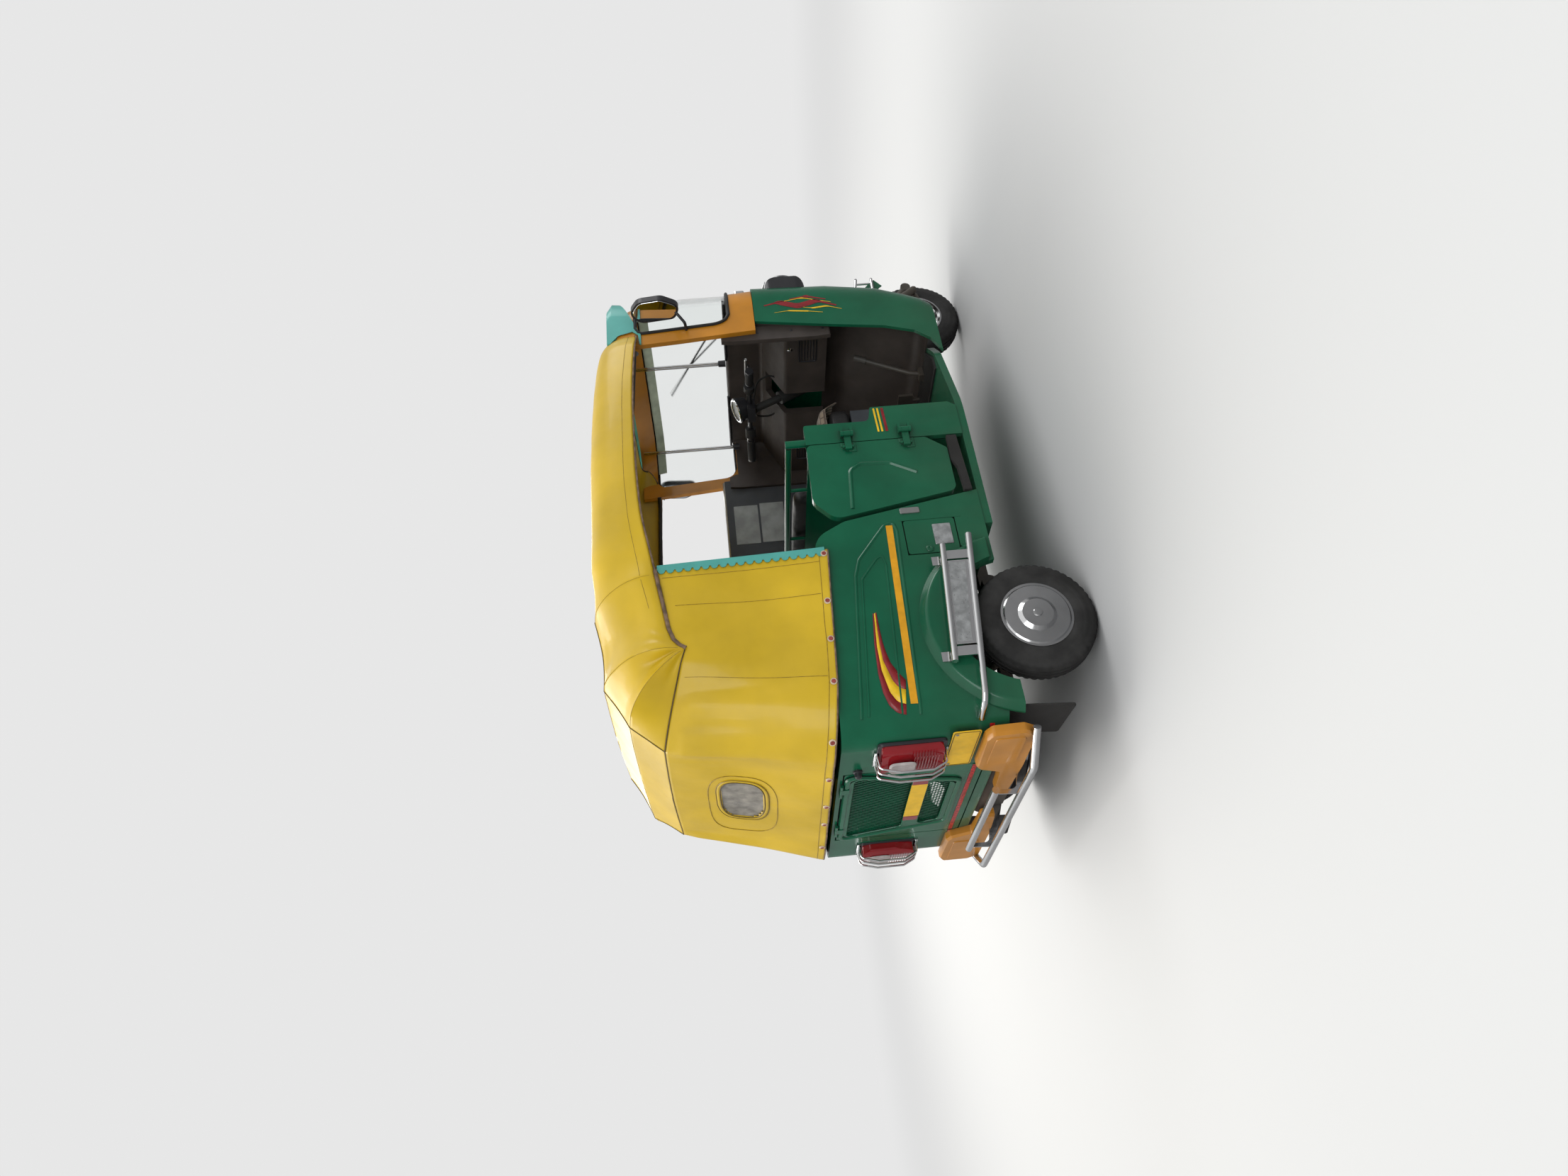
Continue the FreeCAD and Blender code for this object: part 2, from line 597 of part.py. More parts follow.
feature("toe_board", toe_board())


def headlamp_pod():
    """Round-cornered lamp housing on the right corner of the nose."""
    low, high = S.pod_z - S.pod_height / 2, S.pod_z + S.pod_height / 2
    inner, outer = S.pod_y - S.pod_width / 2, S.pod_y + S.pod_width / 2
    side = prism("XZ", [(S.pod_rear_x - 60, low + 40), (S.pod_rear_x, low, 30),
                        (S.pod_front_x, low + 6, 40), (S.pod_front_x, high - 30, 50),
                        (S.pod_rear_x - 60, high)], -outer, -inner)
    face = prism("YZ", [(-outer, low, 46), (-inner, low, 46), (-inner, high, 46),
                        (-outer, high, 46)], S.pod_rear_x - 90, S.pod_front_x + 10)
    pod = side.common(face)
    lens = Part.makeCylinder(S.pod_width / 2 - 12, S.lens_thickness,
                             V(S.pod_front_x - 8, -S.pod_y, S.pod_z), V(1, 0, 0))
    return pod.cut(nose_core(NOSE, S.cab_half_width, -SEAT)).cut(lens), lens


pod, lens = headlamp_pod()
feature("headlamp_pods", Part.makeCompound([pod, mirrored(pod)]))
feature("headlamp_lenses", Part.makeCompound([lens, mirrored(lens)]))


# Doorway side
def side_panel_outline():
    rear, front, neck = S.side_panel_rear_x, S.side_panel_front_x, S.side_panel_neck
    low, step = S.floor_z + SEAT, S.side_panel_step_z
    return [(rear, low), (front - 20, low), (front, low + 28), (front, step, 8),
            (rear + neck, step + 14, 20), (rear + neck, S.side_panel_top_z, 10),
            (rear, S.side_panel_top_z)]


def hinge_stack(z, fixed):
    """One door hinge: its fixed lugs with the pin, or the door's knuckle."""
    pin, half = S.hinge_pin_radius, S.hinge_height / 2
    x, y = S.door_hinge_x, S.door_hinge_y
    barrel, lug = pin + 4, half * 0.44
    if fixed:
        shapes = [Part.makeCylinder(pin - 2.3, 2 * half, V(x, y, z - half))]
        for low in (z - half, z + half - lug):
            shapes.append(Part.makeCylinder(barrel, lug, V(x, y, low)))
            shapes.append(block((x - 4, y + 2, low),
                                (x + 34, -S.body_half_width + 2, low + lug)))
        return shapes
    low, tall = z - half + lug + 0.5, 2 * (half - lug) - 1
    knuckle = Part.makeCylinder(barrel, tall, V(x, y, low))
    leaf = block((S.door_front_x - 40, y + 3, low), (x - 2, y + barrel, low + tall))
    arm = block((S.door_front_x - 40, y + 3, low),
                (S.door_front_x - 2, -S.body_half_width, low + tall))
    bore = Part.makeCylinder(pin - 2, tall + 2, V(x, y, low - 1))
    return [knuckle.fuse([leaf, arm]).cut(bore)]


HINGES = (S.hinge_low_z, S.hinge_high_z)
panel_y = -S.body_half_width
side_panel = prism("XZ", side_panel_outline(), panel_y, panel_y + S.door_thickness - 4)
post = Part.makeCylinder(S.post_radius, S.post_top_z - S.post_low_z,
                         V(S.side_panel_rear_x + S.post_radius + 4, panel_y + S.post_radius,
                           S.post_low_z))
lugs = [shape for z in HINGES for shape in hinge_stack(z, True)]
feature("b_panel_right", joined([side_panel, post] + lugs))
feature("b_panel_left", mirrored(joined([side_panel, post])))


def passenger_door():
    """Half-height door with an embossed middle and two knuckles on its front edge."""
    rear, front = S.door_rear_x, S.door_front_x
    low, high = S.door_bottom_z, S.door_top_z
    outline = [(rear + 80, low, 30), (front - 58, low, 16), (front, low + 72, 24),
               (front, high, 22), (rear + 74, high + 5, 60), (rear - 6, high - 66, 60)]
    outer = panel_y - 3
    panel = prism("XZ", outline, outer, outer + S.door_thickness)
    recess = prism("XZ", [(rear + 104, low + 40, 30), (front - 66, low + 40, 20),
                          (front - 30, low + 96, 30), (front - 30, high - 36, 24),
                          (rear + 96, high - 32, 50), (rear + 36, high - 86, 50)],
                   outer + 8, outer + S.door_thickness + 1)
    knuckles = [shape for z in HINGES for shape in hinge_stack(z, False)]
    return joined([panel.cut(recess)] + knuckles)


feature("passenger_door", passenger_door())

nose_room = [nose_shell(NOSE, S.apron_wall + 2 * SEAT, S.cab_half_width, -SEAT),
             nose_shell(SCREEN, S.cowl_wall + 2 * SEAT, S.cab_half_width, -SEAT)]
feature("left_side_panel", barrier_panel().cut(nose_room))

wall_half = S.body_half_width - S.door_thickness - 10
partition_panel = block((S.partition_x, -wall_half, S.floor_z),
                        (S.partition_x + S.partition_wall, wall_half, S.partition_top_z))
rail_end = S.body_half_width - 2 * S.post_radius - 0.3
rail = rod((S.partition_x + 8, -rail_end, S.rail_z), (S.partition_x + 8, rail_end, S.rail_z),
           S.post_radius - 3)
stays = [rod((S.partition_x + 8, y, S.partition_top_z - 30), (S.partition_x + 8, y, S.rail_z), 7)
         for y in (-330, 0, 330)]
feature("partition", joined([partition_panel, rail] + stays))


# Seats
def cushion(name, low, high, rounding="cushion_round"):
    """A plain pad with rounded long edges, drawn from its side and padded across."""
    radius = getattr(S, rounding)
    body = pad(name, "XZ", [(low[0], low[2], radius * 0.5), (high[0], low[2], radius * 0.5),
                            (high[0], high[2], radius), (low[0], high[2], radius)],
               f"{-high[1]} mm", f"{high[1] - low[1]} mm")
    return body


seat_half = S.seat_box_width / 2
seat_box = block((seat_rear, -seat_half, S.floor_z), (seat_front, seat_half, S.seat_box_top_z))
well = block((seat_rear + 20, -seat_half + 20, S.floor_z - 1),
             (seat_front - 20, seat_half - 20, S.seat_box_top_z - 20))
feature("driver_seat_box", seat_box.cut(well))
over = S.seat_cushion_over
cushion("driver_seat_cushion", (seat_rear - 10, -seat_half - over, S.seat_box_top_z + 0.3),
        (seat_front + over + 20, seat_half + over,
         S.seat_box_top_z + 0.3 + S.seat_cushion_height))
back_x = S.partition_x + S.partition_wall + 0.3
cushion("driver_backrest", (back_x, -seat_half + 10, S.partition_top_z - 90),
        (back_x + S.driver_back_depth, seat_half - 10,
         S.partition_top_z - 90 + S.driver_back_height))

bench_half = S.bench_half_width
bench_rear = S.bench_front_x - S.bench_cushion_depth
bench = prism("XZ", [(S.bench_front_x, S.floor_z), (S.bench_front_x, S.bench_box_top_z),
                     (firewall_x - S.deck_wall, S.bench_box_top_z),
                     (firewall_x - S.deck_wall, S.bench_box_top_z - S.bench_box_wall),
                     (S.bench_front_x - S.bench_box_wall, S.bench_box_top_z - S.bench_box_wall),
                     (S.bench_front_x - S.bench_box_wall, S.floor_z)],
              -S.body_half_width + S.body_wall + SEAT, S.body_half_width - S.body_wall - SEAT)
feature("bench_box", bench)
cushion("bench_cushion", (bench_rear, -bench_half, S.bench_box_top_z + 0.3),
        (S.bench_front_x + 14, bench_half, S.bench_box_top_z + 0.3 + S.bench_cushion_height))
lean = S.bench_back_height * math.tan(math.radians(S.bench_back_lean))
back_low = S.bench_box_top_z + S.bench_cushion_height + 1
pad("bench_backrest", "XZ",
    [(bench_rear + 8, back_low, 20), (bench_rear + 8 + S.bench_back_depth, back_low, 30),
     (bench_rear + 8 + S.bench_back_depth - lean, back_low + S.bench_back_height, 40),
     (bench_rear + 8 - lean, back_low + S.bench_back_height, 30)],
    "-Sizes.bench_half_width", "2 * Sizes.bench_half_width")


def rear_deck():
    """Shelf behind the bench, the firewall under it and the rails round the rear lid."""
    inner = S.body_half_width - S.body_wall - S.rear_corner_radius * 0.8
    web_x, foot = S.rear_face_x + S.engine_lid_wall + S.engine_lid_gap + 1, S.bench_box_top_z + SEAT
    shelf = prism("XZ", [(web_x, S.deck_z), (firewall_x, S.deck_z), (firewall_x, foot),
                         (firewall_x - S.deck_wall, foot),
                         (firewall_x - S.deck_wall, S.deck_z - S.deck_wall),
                         (web_x, S.deck_z - S.deck_wall)], -inner, inner)
    seam = S.lid_half_width + S.engine_lid_gap - 0.3
    high = block((S.rear_face_x, -seam, S.lid_top_z + S.engine_lid_gap),
                 (web_x + 3, seam, S.body_top_z))
    web = block((web_x, -seam, S.deck_z - S.deck_wall), (web_x + 3, seam, S.body_top_z))
    low = block((S.rear_face_x, -seam, S.rear_bottom_z),
                (S.rear_face_x + S.body_wall, seam, S.lid_low_z - S.engine_lid_gap))
    knuckles = [shape for y in LID_HINGES for shape in lid_hinge(y, True)]
    top = joined([shelf, high, web] + knuckles)
    return Part.makeCompound([top, low])


# Rear lid
lid_pin_x, lid_pin_z = S.rear_face_x - 8, S.lid_top_z + 6
LID_HINGES = (-200, 200)


def lid_hinge(y, fixed):
    """A top hinge of the rear lid: lugs and pin on the body, or the lid's knuckle."""
    def barrel(low, length, radius):
        return Part.makeCylinder(radius, length, V(lid_pin_x, low, lid_pin_z), V(0, 1, 0))
    if fixed:
        shapes = [barrel(y - 50, 100, 3)]
        for low in (y - 50, y + 22):
            shapes.append(barrel(low, 28, 6))
            shapes.append(block((lid_pin_x, low, lid_pin_z), (S.rear_face_x + 4, low + 28,
                                                              lid_pin_z + 5.5)))
        return shapes
    leaf = block((lid_pin_x - 5, y - 20, lid_pin_z - 26), (S.rear_face_x + 2, y + 20, lid_pin_z - 3))
    return [barrel(y - 20, 40, 6).fuse(leaf).cut(barrel(y - 21, 42, 3.3))]


feature("rear_deck", rear_deck())


def grille_outline(low, high, inset=0.0, turn=26):
    """A stretch of the grille's tapered opening between two heights."""
    def half(z):
        share = (z - S.grille_low_z) / (S.grille_top_z - S.grille_low_z)
        return S.grille_foot_half + share * (S.grille_top_half - S.grille_foot_half) - inset
    low, high = low + inset, high - inset
    return [(-half(low), low, turn), (half(low), low, turn), (half(high), high, turn),
            (-half(high), high, turn)]


GRILLES = ((S.grille_low_z, S.plate_low_z), (S.plate_high_z, S.grille_top_z))


def engine_lid():
    """Rear lid with the two mesh openings and the bar between them."""
    outer = S.rear_face_x
    half, low, high = S.lid_half_width, S.lid_low_z, S.lid_top_z
    panel = prism("YZ", [(-half, low, 12), (half, low, 12), (half, high, 12),
                         (-half, high, 12)], outer, outer + S.engine_lid_wall)
    frame = prism("YZ", grille_outline(S.grille_low_z - 16, S.grille_top_z + 14, 0, 34),
                  outer - 6, outer + 2)
    openings = [prism("YZ", grille_outline(*span), outer - 10, outer + 60) for span in GRILLES]
    knuckles = [shape for y in LID_HINGES for shape in lid_hinge(y, False)]
    return joined([panel.fuse(frame).cut(Part.makeCompound(openings))] + knuckles)


feature("engine_lid", engine_lid())


def inside_half(z, margin):
    share = (z - S.grille_low_z) / (S.grille_top_z - S.grille_low_z)
    return S.grille_foot_half + share * (S.grille_top_half - S.grille_foot_half) - margin


def mesh_plate(low, high):
    """Mesh with diamond holes, fitted in one opening of the rear lid."""
    x = S.rear_face_x + 4
    border = Part.Wire(span_edges(corner_path(grille_outline(low, high, 0.3)), "YZ", x))
    reach = S.grille_pitch / 2 - S.grille_bar / 2
    holes, z, odd = [], low + S.grille_pitch * 0.62, False
    while z + reach < high - 4:
        half = inside_half(z - reach, S.grille_pitch * 0.62)
        y = -S.grille_pitch * 12 + (S.grille_pitch / 2 if odd else 0)
        while y < S.grille_pitch * 12:
            if abs(y) < half:
                holes.append(Part.makePolygon([V(x, y - reach, z), V(x, y, z + reach),
                                               V(x, y + reach, z), V(x, y, z - reach),
                                               V(x, y - reach, z)]))
            y += S.grille_pitch
        z += S.grille_pitch / 2
        odd = not odd
    return Part.Face([border] + [Part.Wire(hole.Edges) for hole in holes]).extrude(
        V(S.grille_depth, 0, 0))


feature("engine_grille", Part.makeCompound([mesh_plate(*span) for span in GRILLES]))


# Hood
HOOPS = (
    # along, side half width, side edge z, corner half width, corner z, crown z, corner radius
    (-1152, 434, 1461, 410, 1474, 1478, 12),
    (-1056, 540, 1434, 418, 1578, 1584, 30),
    (-895, 606, 1382, 402, 1660, 1668, 40),
    (-640, 610, 1436, 486, 1684, 1696, 90),
    (-556, 612, 1456, 590, 1676, 1700, 130),
    (-299, 614, 1499, 596, 1680, 1703, 140),
    (100, 610, 1511, 592, 1676, 1704, 140),
    (523, 572, 1492, 556, 1650, 1684, 120),
    (640, 538, 1490, 520, 1612, 1646, 100),
    (740, 474, 1576, 462, 1612, 1630, 24),
    (812, 366, 1576, 352, 1596, 1606, 14),
)


def hoop_path(hoop, inset=0.0):
    _, side, side_z, corner, corner_z, crown, turn = hoop
    turn = max(turn - inset, 2)
    return [(-side + inset, side_z), (-corner + inset * 0.8, corner_z - inset, turn),
            (0, crown - inset, 1500), (corner - inset * 0.8, corner_z - inset, turn),
            (side - inset, side_z)]


def roof_canopy():
    """Cloth over the bows, its front hem trimmed to the head of the windscreen frame."""
    cloth = loft([band(hoop_path(hoop), hoop_path(hoop, S.hood_cloth), "YZ", hoop[0])
                  for hoop in HOOPS])
    return cloth.cut(nose_core(SCREEN, S.cab_half_width, -SEAT))


def curtain_path(back, half, turn, inset=0.0):
    front = S.curtain_front_x
    back, half, turn = back + inset, half - inset, turn - inset
    return [(front, -half), (back, -half, turn), (back, half, turn), (front, half)]


def rear_curtain():
    """Wrap-round cloth from the hood's seam down over the body's edge, with its window."""
    low, high = S.curtain_low_z - 30, S.curtain_rear_top_z + 20
    rows = ((low, S.curtain_low_x, S.curtain_low_half, S.curtain_corner_low),
            (high, S.curtain_high_x, S.curtain_high_half, S.curtain_corner_high))
    shell = loft([band(curtain_path(back, half, turn),
                       curtain_path(back, half, turn, S.hood_cloth), "XY", z)
                  for z, back, half, turn in rows])
    back = S.curtain_low_x - 60
    keep = prism("XZ", [(back, S.curtain_low_z + 22), (back, S.curtain_rear_top_z),
                        (S.curtain_high_x + 8, S.curtain_rear_top_z),
                        (S.hood_pivot_x, S.hood_pivot_z),
                        (S.curtain_front_x, S.curtain_front_top_z),
                        (S.curtain_front_x + 10, S.curtain_low_z - 24)], -700, 700)
    half, rise, corner = S.window_width / 2, S.window_height / 2, S.window_corner
    mid_y, mid_z = S.window_mid_y, S.window_mid_z
    window = prism("YZ", [(mid_y - half, mid_z - rise, corner), (mid_y + half, mid_z - rise, corner),
                          (mid_y + half, mid_z + rise, corner),
                          (mid_y - half, mid_z + rise, corner)], back, -1100)
    return shell.common(keep).cut(window), shell.common(window)


curtain, pane_space = rear_curtain()
feature("roof_canopy", roof_canopy())
feature("rear_curtain", curtain)


def curtain_back_x(z):
    """Outer face of the curtain's back at a height."""
    low, high = S.curtain_low_z - 30, S.curtain_rear_top_z + 20
    return S.curtain_low_x + (S.curtain_high_x - S.curtain_low_x) * (z - low) / (high - low)


def rear_window():
    """Clear pane in the curtain's opening, following its slope."""
    half, rise, corner = S.window_width / 2, S.window_height / 2, S.window_corner
    corner, half, rise = corner - 0.4, half - 0.4, rise - 0.4
    mid_y, mid_z = S.window_mid_y, S.window_mid_z
    low, high = mid_z - 100, mid_z + 100
    slab = prism("XZ", [(curtain_back_x(low) + 3, low), (curtain_back_x(high) + 3, high),
                        (curtain_back_x(high) + 3 + S.window_pane, high),
                        (curtain_back_x(low) + 3 + S.window_pane, low)], -400, 400)
    return slab.common(prism("YZ", [
        (mid_y - half, mid_z - rise, corner), (mid_y + half, mid_z - rise, corner),
        (mid_y + half, mid_z + rise, corner), (mid_y - half, mid_z + rise, corner)],
        -1400, -1000))


feature("rear_window", rear_window())


def hood_frame():
    """Four bows, roof side rails and the uprights, with a pivot plate on each side."""
    bow = S.bow_radius
    gap = S.hood_cloth + bow + 3
    pivot_y, plate = S.curtain_high_half - 30, S.pivot_plate_radius
    pivot_z = S.hood_pivot_z - 24

    def from_pivot(sign, target):
        """The end of a bow on the pivot plate, on the side that faces a target."""
        toward = V(target[0] - S.hood_pivot_x, 0, target[2] - pivot_z).normalize()
        return tuple(V(S.hood_pivot_x, sign * pivot_y, pivot_z) + toward * (plate - 8))

    shapes = []
    for hoop in HOOPS[:3]:
        x, _, _, corner, corner_z, crown, _ = hoop
        x = max(x, S.curtain_high_x + 14)
        right, left = ((x, sign * (corner - 26), corner_z - gap - 6) for sign in (-1, 1))
        shapes.append(tube([from_pivot(-1, right), right, (x, 0, crown - gap - 2), left,
                            from_pivot(1, left)], bow, 30))
    x, side, side_z, corner, corner_z, crown, _ = HOOPS[4]
    x, rail_y, foot = x + 10, side - gap - 6, S.body_top_z - 60
    right, left = ([(x, sign * rail_y, foot), (x, sign * rail_y, side_z),
                    (x, sign * (corner - gap - 4), corner_z - gap - 4)] for sign in (-1, 1))
    shapes.append(tube(right + [(x, 0, crown - gap - 2)] + left[::-1], bow, 110))
    wall_y = S.body_half_width - S.body_wall - SEAT
    for sign in (-1, 1):
        for upright_x, upright_y in ((x, rail_y), (S.hood_pivot_x, pivot_y)):
            clip = block((upright_x - 14, upright_y, foot), (upright_x + 14, wall_y, foot + 36))
            shapes.append(clip if sign > 0 else mirrored(clip))
        rail = [(x, sign * rail_y, side_z + 22)]
        for hoop in HOOPS[5:8]:
            rail.append((hoop[0], sign * (hoop[1] - gap - 6), hoop[2] + 10))
        rail.append((HOOPS[8][0] - 64, sign * (S.cab_half_width - S.cowl_wall - bow - 4),
                     HOOPS[8][2] + 8))
        shapes.append(tube(rail, bow, 200))
        low, tie = (S.hood_pivot_x, sign * pivot_y, foot), (x, sign * rail_y, side_z - 20)
        shapes.append(rod(low, from_pivot(sign, low), bow))
        shapes.append(rod(from_pivot(sign, tie), tie, bow))
        shapes.append(Part.makeCylinder(plate, 8, V(S.hood_pivot_x, sign * pivot_y - 4, pivot_z),
                                        V(0, 1, 0)))
    return joined(shapes)


feature("hood_frame", hood_frame())


def visor():
    """Wedge-shaped peak round the head of the windscreen, deepest at its sides."""
    reach, low, tip, top = S.visor_reach, S.visor_side_z, S.visor_tip_z, S.visor_top_z
    rows = ((low, 914, 588, 290), (tip, 900 + reach, 600, 300), (top, 842 + reach, 600, 280))
    peak = nose_shell(rows, 96, S.cab_half_width + 6)
    under = prism("XZ", [(500, low - 40), (500, low), (640, low), (900 + reach, tip - 4),
                         (1100, tip - 4), (1100, low - 40)], -700, 700)
    header = nose_core(SCREEN, S.cab_half_width, -SEAT)
    solid_roof = loft([Part.Wire(span_edges(corner_path(hoop_path(hoop, -1.0)
                                                        + [(0, hoop[2] - 200)]), "YZ", hoop[0]))
                       for hoop in HOOPS[7:]])
    return peak.cut(under).cut(header).cut(solid_roof)


feature("visor", visor())


def mirror_right():
    """Egg-shaped mirror head on a bent stalk from the pillar."""
    x, mid_y, mid_z = S.pillar_head_x + 104, -598, 1408
    head = prism("YZ", [(mid_y - 62, mid_z - 30, 46), (mid_y - 20, mid_z - 104, 34),
                        (mid_y + 46, mid_z - 78, 30), (mid_y + 60, mid_z + 60, 46),
                        (mid_y + 10, mid_z + 108, 40), (mid_y - 52, mid_z + 66, 40)], x, x + 26)
    stalk_z = 1288
    stalk = tube([(S.pillar_foot_x + 36, -S.cab_half_width - 2, stalk_z),
                  (S.pillar_foot_x + 44, -S.cab_half_width - 34, stalk_z + 4),
                  (x + 13, mid_y, mid_z - 70)], 6, 20)
    return head.fuse(stalk)


mirror = mirror_right()
feature("mirrors", Part.makeCompound([mirror, mirrored(mirror)]))


def indicator():
    low, high = S.lamp_z - 22, S.lamp_z + 22
    lamp = prism("YZ", [(-S.lamp_side_y - 32, low, 8), (-S.lamp_side_y + 32, low, 8),
                        (-S.lamp_side_y + 32, high, 8), (-S.lamp_side_y - 32, high, 8)],
                 780, S.pod_front_x - 8)
    return lamp.cut(nose_core(SCREEN[:2], S.cab_half_width, -SEAT))


lamp = indicator()
feature("front_indicators", Part.makeCompound([lamp, mirrored(lamp)]))


# Rear lamps and guards
tub_outer = prism("XY", [(0, -S.body_half_width), (S.rear_face_x, -S.body_half_width,
                                                   S.rear_corner_radius),
                         (S.rear_face_x, S.body_half_width, S.rear_corner_radius),
                         (0, S.body_half_width)], 200, 1000)


def tail_lamp():
    inner, outer = -S.lamp_inner_y, -S.lamp_inner_y - S.lamp_width
    low, high = S.lamp_low_z, S.lamp_low_z + S.lamp_height
    face = prism("YZ", [(outer, low, 16), (inner - 16, low, 16), (inner, low + 70, 40),
                        (inner, high - 30, 20), (inner - 14, high, 14), (outer, high, 16)],
                 S.rear_face_x - S.lamp_depth, S.rear_face_x + 80)
    side = prism("XY", [(S.rear_face_x + 80, outer), (S.rear_face_x - S.lamp_depth + 22, outer, 26),
                        (S.rear_face_x - S.lamp_depth, inner - 30, 40),
                        (S.rear_face_x - S.lamp_depth + 14, inner, 10),
                        (S.rear_face_x + 80, inner)], low, high)
    return face.common(side).cut(tub_outer)


lamp = tail_lamp()
feature("tail_lamps", Part.makeCompound([lamp, mirrored(lamp)]))


def lamp_guard():
    """Three bent rods over a tail lamp between two small brackets."""
    low, high = S.lamp_low_z - 12, S.lamp_low_z + S.lamp_height + 12
    base, reach = S.rear_face_x - 4, S.rear_face_x - S.lamp_depth - S.guard_reach
    shapes = []
    for y in (-S.lamp_inner_y - 8, -S.lamp_inner_y - 50, -S.lamp_inner_y - 92):
        shapes.append(tube([(base, y, high), (reach + 18, y, high - 4), (reach, y, high - 70),
                            (reach, y, low + 50), (reach + 22, y, low + 4), (base, y, low)],
                           S.guard_rod_radius, 14))
    for z in (low, high):
        shapes.append(block((S.rear_face_x - 6, -S.lamp_inner_y - 102, z - 8),
                            (S.rear_face_x - 0.3, -S.lamp_inner_y + 2, z + 8)))
    return joined(shapes)


guard = lamp_guard()
feature("tail_lamp_guards", Part.makeCompound([guard, mirrored(guard)]))

LID_EDGE = S.rear_face_x - 0.3


def bumper_pad():
    """Moulded yellow corner pad with its narrow inner arm."""
    low, high = S.pad_low_z, S.pad_high_z
    outer, inner = -S.pad_outer_y, -S.pad_inner_y
    return prism("YZ", [(outer, low + 8, 24), (outer, high, 22), (outer + 142, high, 20),
                        (outer + 158, high - 28, 12), (inner, high - 24, 6),
                        (inner, low + 44, 6), (outer + 172, low + 24, 20),
                        (outer + 72, low, 24)],
                 LID_EDGE - S.pad_depth, LID_EDGE)


guard_pad = bumper_pad()
feature("bumper_pads", Part.makeCompound([guard_pad, mirrored(guard_pad)]))


def rear_guard_bars():
    """Two chrome tubes behind the body on two brackets from the chassis rails."""
    lower = tube([(S.bumper_end_x, -S.bumper_low_back, S.bumper_low_z - 2),
                  (S.bumper_low_x, -S.bumper_low_half, S.bumper_low_z),
                  (S.bumper_low_x, S.bumper_low_half, S.bumper_low_z),
                  (S.bumper_end_x, S.bumper_low_back, S.bumper_low_z - 2)], S.bumper_tube, 60)
    upper = rod((S.bumper_high_x, -S.bumper_high_half, S.bumper_high_z),
                (S.bumper_high_x, S.bumper_high_half, S.bumper_high_z), S.bumper_tube)
    rail_z = S.floor_z - S.floor_thickness
    outline = [(S.bumper_low_x, S.bumper_low_z - 6), (S.bumper_high_x - 4, S.bumper_high_z),
               (S.bumper_high_x + 10, S.bumper_high_z), (S.bumper_high_x + 8, rail_z + 40, 20),
               (S.rear_face_x + 130, rail_z - 2), (S.rear_face_x + 130, rail_z - 38),
               (S.rear_face_x + 60, rail_z - 38)]
    struts = []
    for low in (-270.3 - S.strut_depth, 270.3):
        struts.append(prism("XZ", outline, low, low + S.strut_depth))
    return joined([lower, upper] + struts)


feature("rear_guard_bars", rear_guard_bars())


def side_guard():
    """Two chrome tubes, two straps and the blank plate over a rear wheel arch."""
    y, bore = -S.side_bar_y, S.side_bar_tube
    upper = rod((S.side_high_rear_x, y, S.side_high_rear_z),
                (S.side_high_front_x, y, S.side_high_front_z), bore)
    lower = tube([(S.rear_face_x + 36, -S.body_half_width + 16, S.side_low_rear_z + 8),
                  (S.side_low_rear_x, y, S.side_low_rear_z),
                  (S.side_low_front_x, y, S.side_low_front_z)], bore, 60)
    lip_y = -S.body_half_width - S.arch_flare - 0.3

    def bar_z(x, high):
        if high:
            share = (x - S.side_high_rear_x) / (S.side_high_front_x - S.side_high_rear_x)
            return S.side_high_rear_z + share * (S.side_high_front_z - S.side_high_rear_z)
        share = (x - S.side_low_rear_x) / (S.side_low_front_x - S.side_low_rear_x)
        return S.side_low_rear_z + share * (S.side_low_front_z - S.side_low_rear_z)
    shapes = [upper, lower]
    for x in (S.side_high_rear_x + S.side_strap, S.side_high_front_x - 43):
        low, high = bar_z(x, False), bar_z(x, True)
        strap = block((x - S.side_strap / 2, y - 3, low), (x + S.side_strap / 2, y + 3, high))
        shapes.append(strap)
        shapes.append(block((x - S.side_strap / 2, y, high - 4),
                            (x + S.side_strap / 2, lip_y, high + 4)))
        shapes.append(block((x - S.side_strap / 2, lip_y - 4, high - 4),
                            (x + S.side_strap / 2, lip_y, high + 36)))
    rear, front = S.side_high_rear_x + 58, S.side_high_front_x - 66
    plate = prism("XZ", [(rear, bar_z(rear, False) + 8), (front, bar_z(front, False) + 8),
                         (front, bar_z(front, True) - 8), (rear, bar_z(rear, True) - 8)],
                  y - S.side_plate_wall / 2, y + S.side_plate_wall / 2)
    ties = [block((x - 8, y - 1.5, bar_z(x, False)), (x + 8, y + 1.5, bar_z(x, True)))
            for x in (rear + 20, front - 20)]
    return joined(shapes + [plate] + ties).cut(tub_outer)


guard = side_guard()
feature("side_guard_bars", Part.makeCompound([guard, mirrored(guard)]))


plate_x = LID_EDGE - S.plate_wall
plate_outline = [(-S.plate_outer_y, S.plate_foot_z, 10), (-S.plate_inner_y, S.plate_foot_z, 10),
                 (-S.plate_inner_y, S.plate_head_z, 10), (-S.plate_outer_y, S.plate_head_z, 10)]
feature("number_plate", prism("YZ", plate_outline, plate_x, LID_EDGE))


# Suspension, drive and engine
rail_out = 270.3
arm_z = S.floor_z - S.floor_thickness - 21
hub_face = wheel_y - S.rim_width / 2 - 0.4


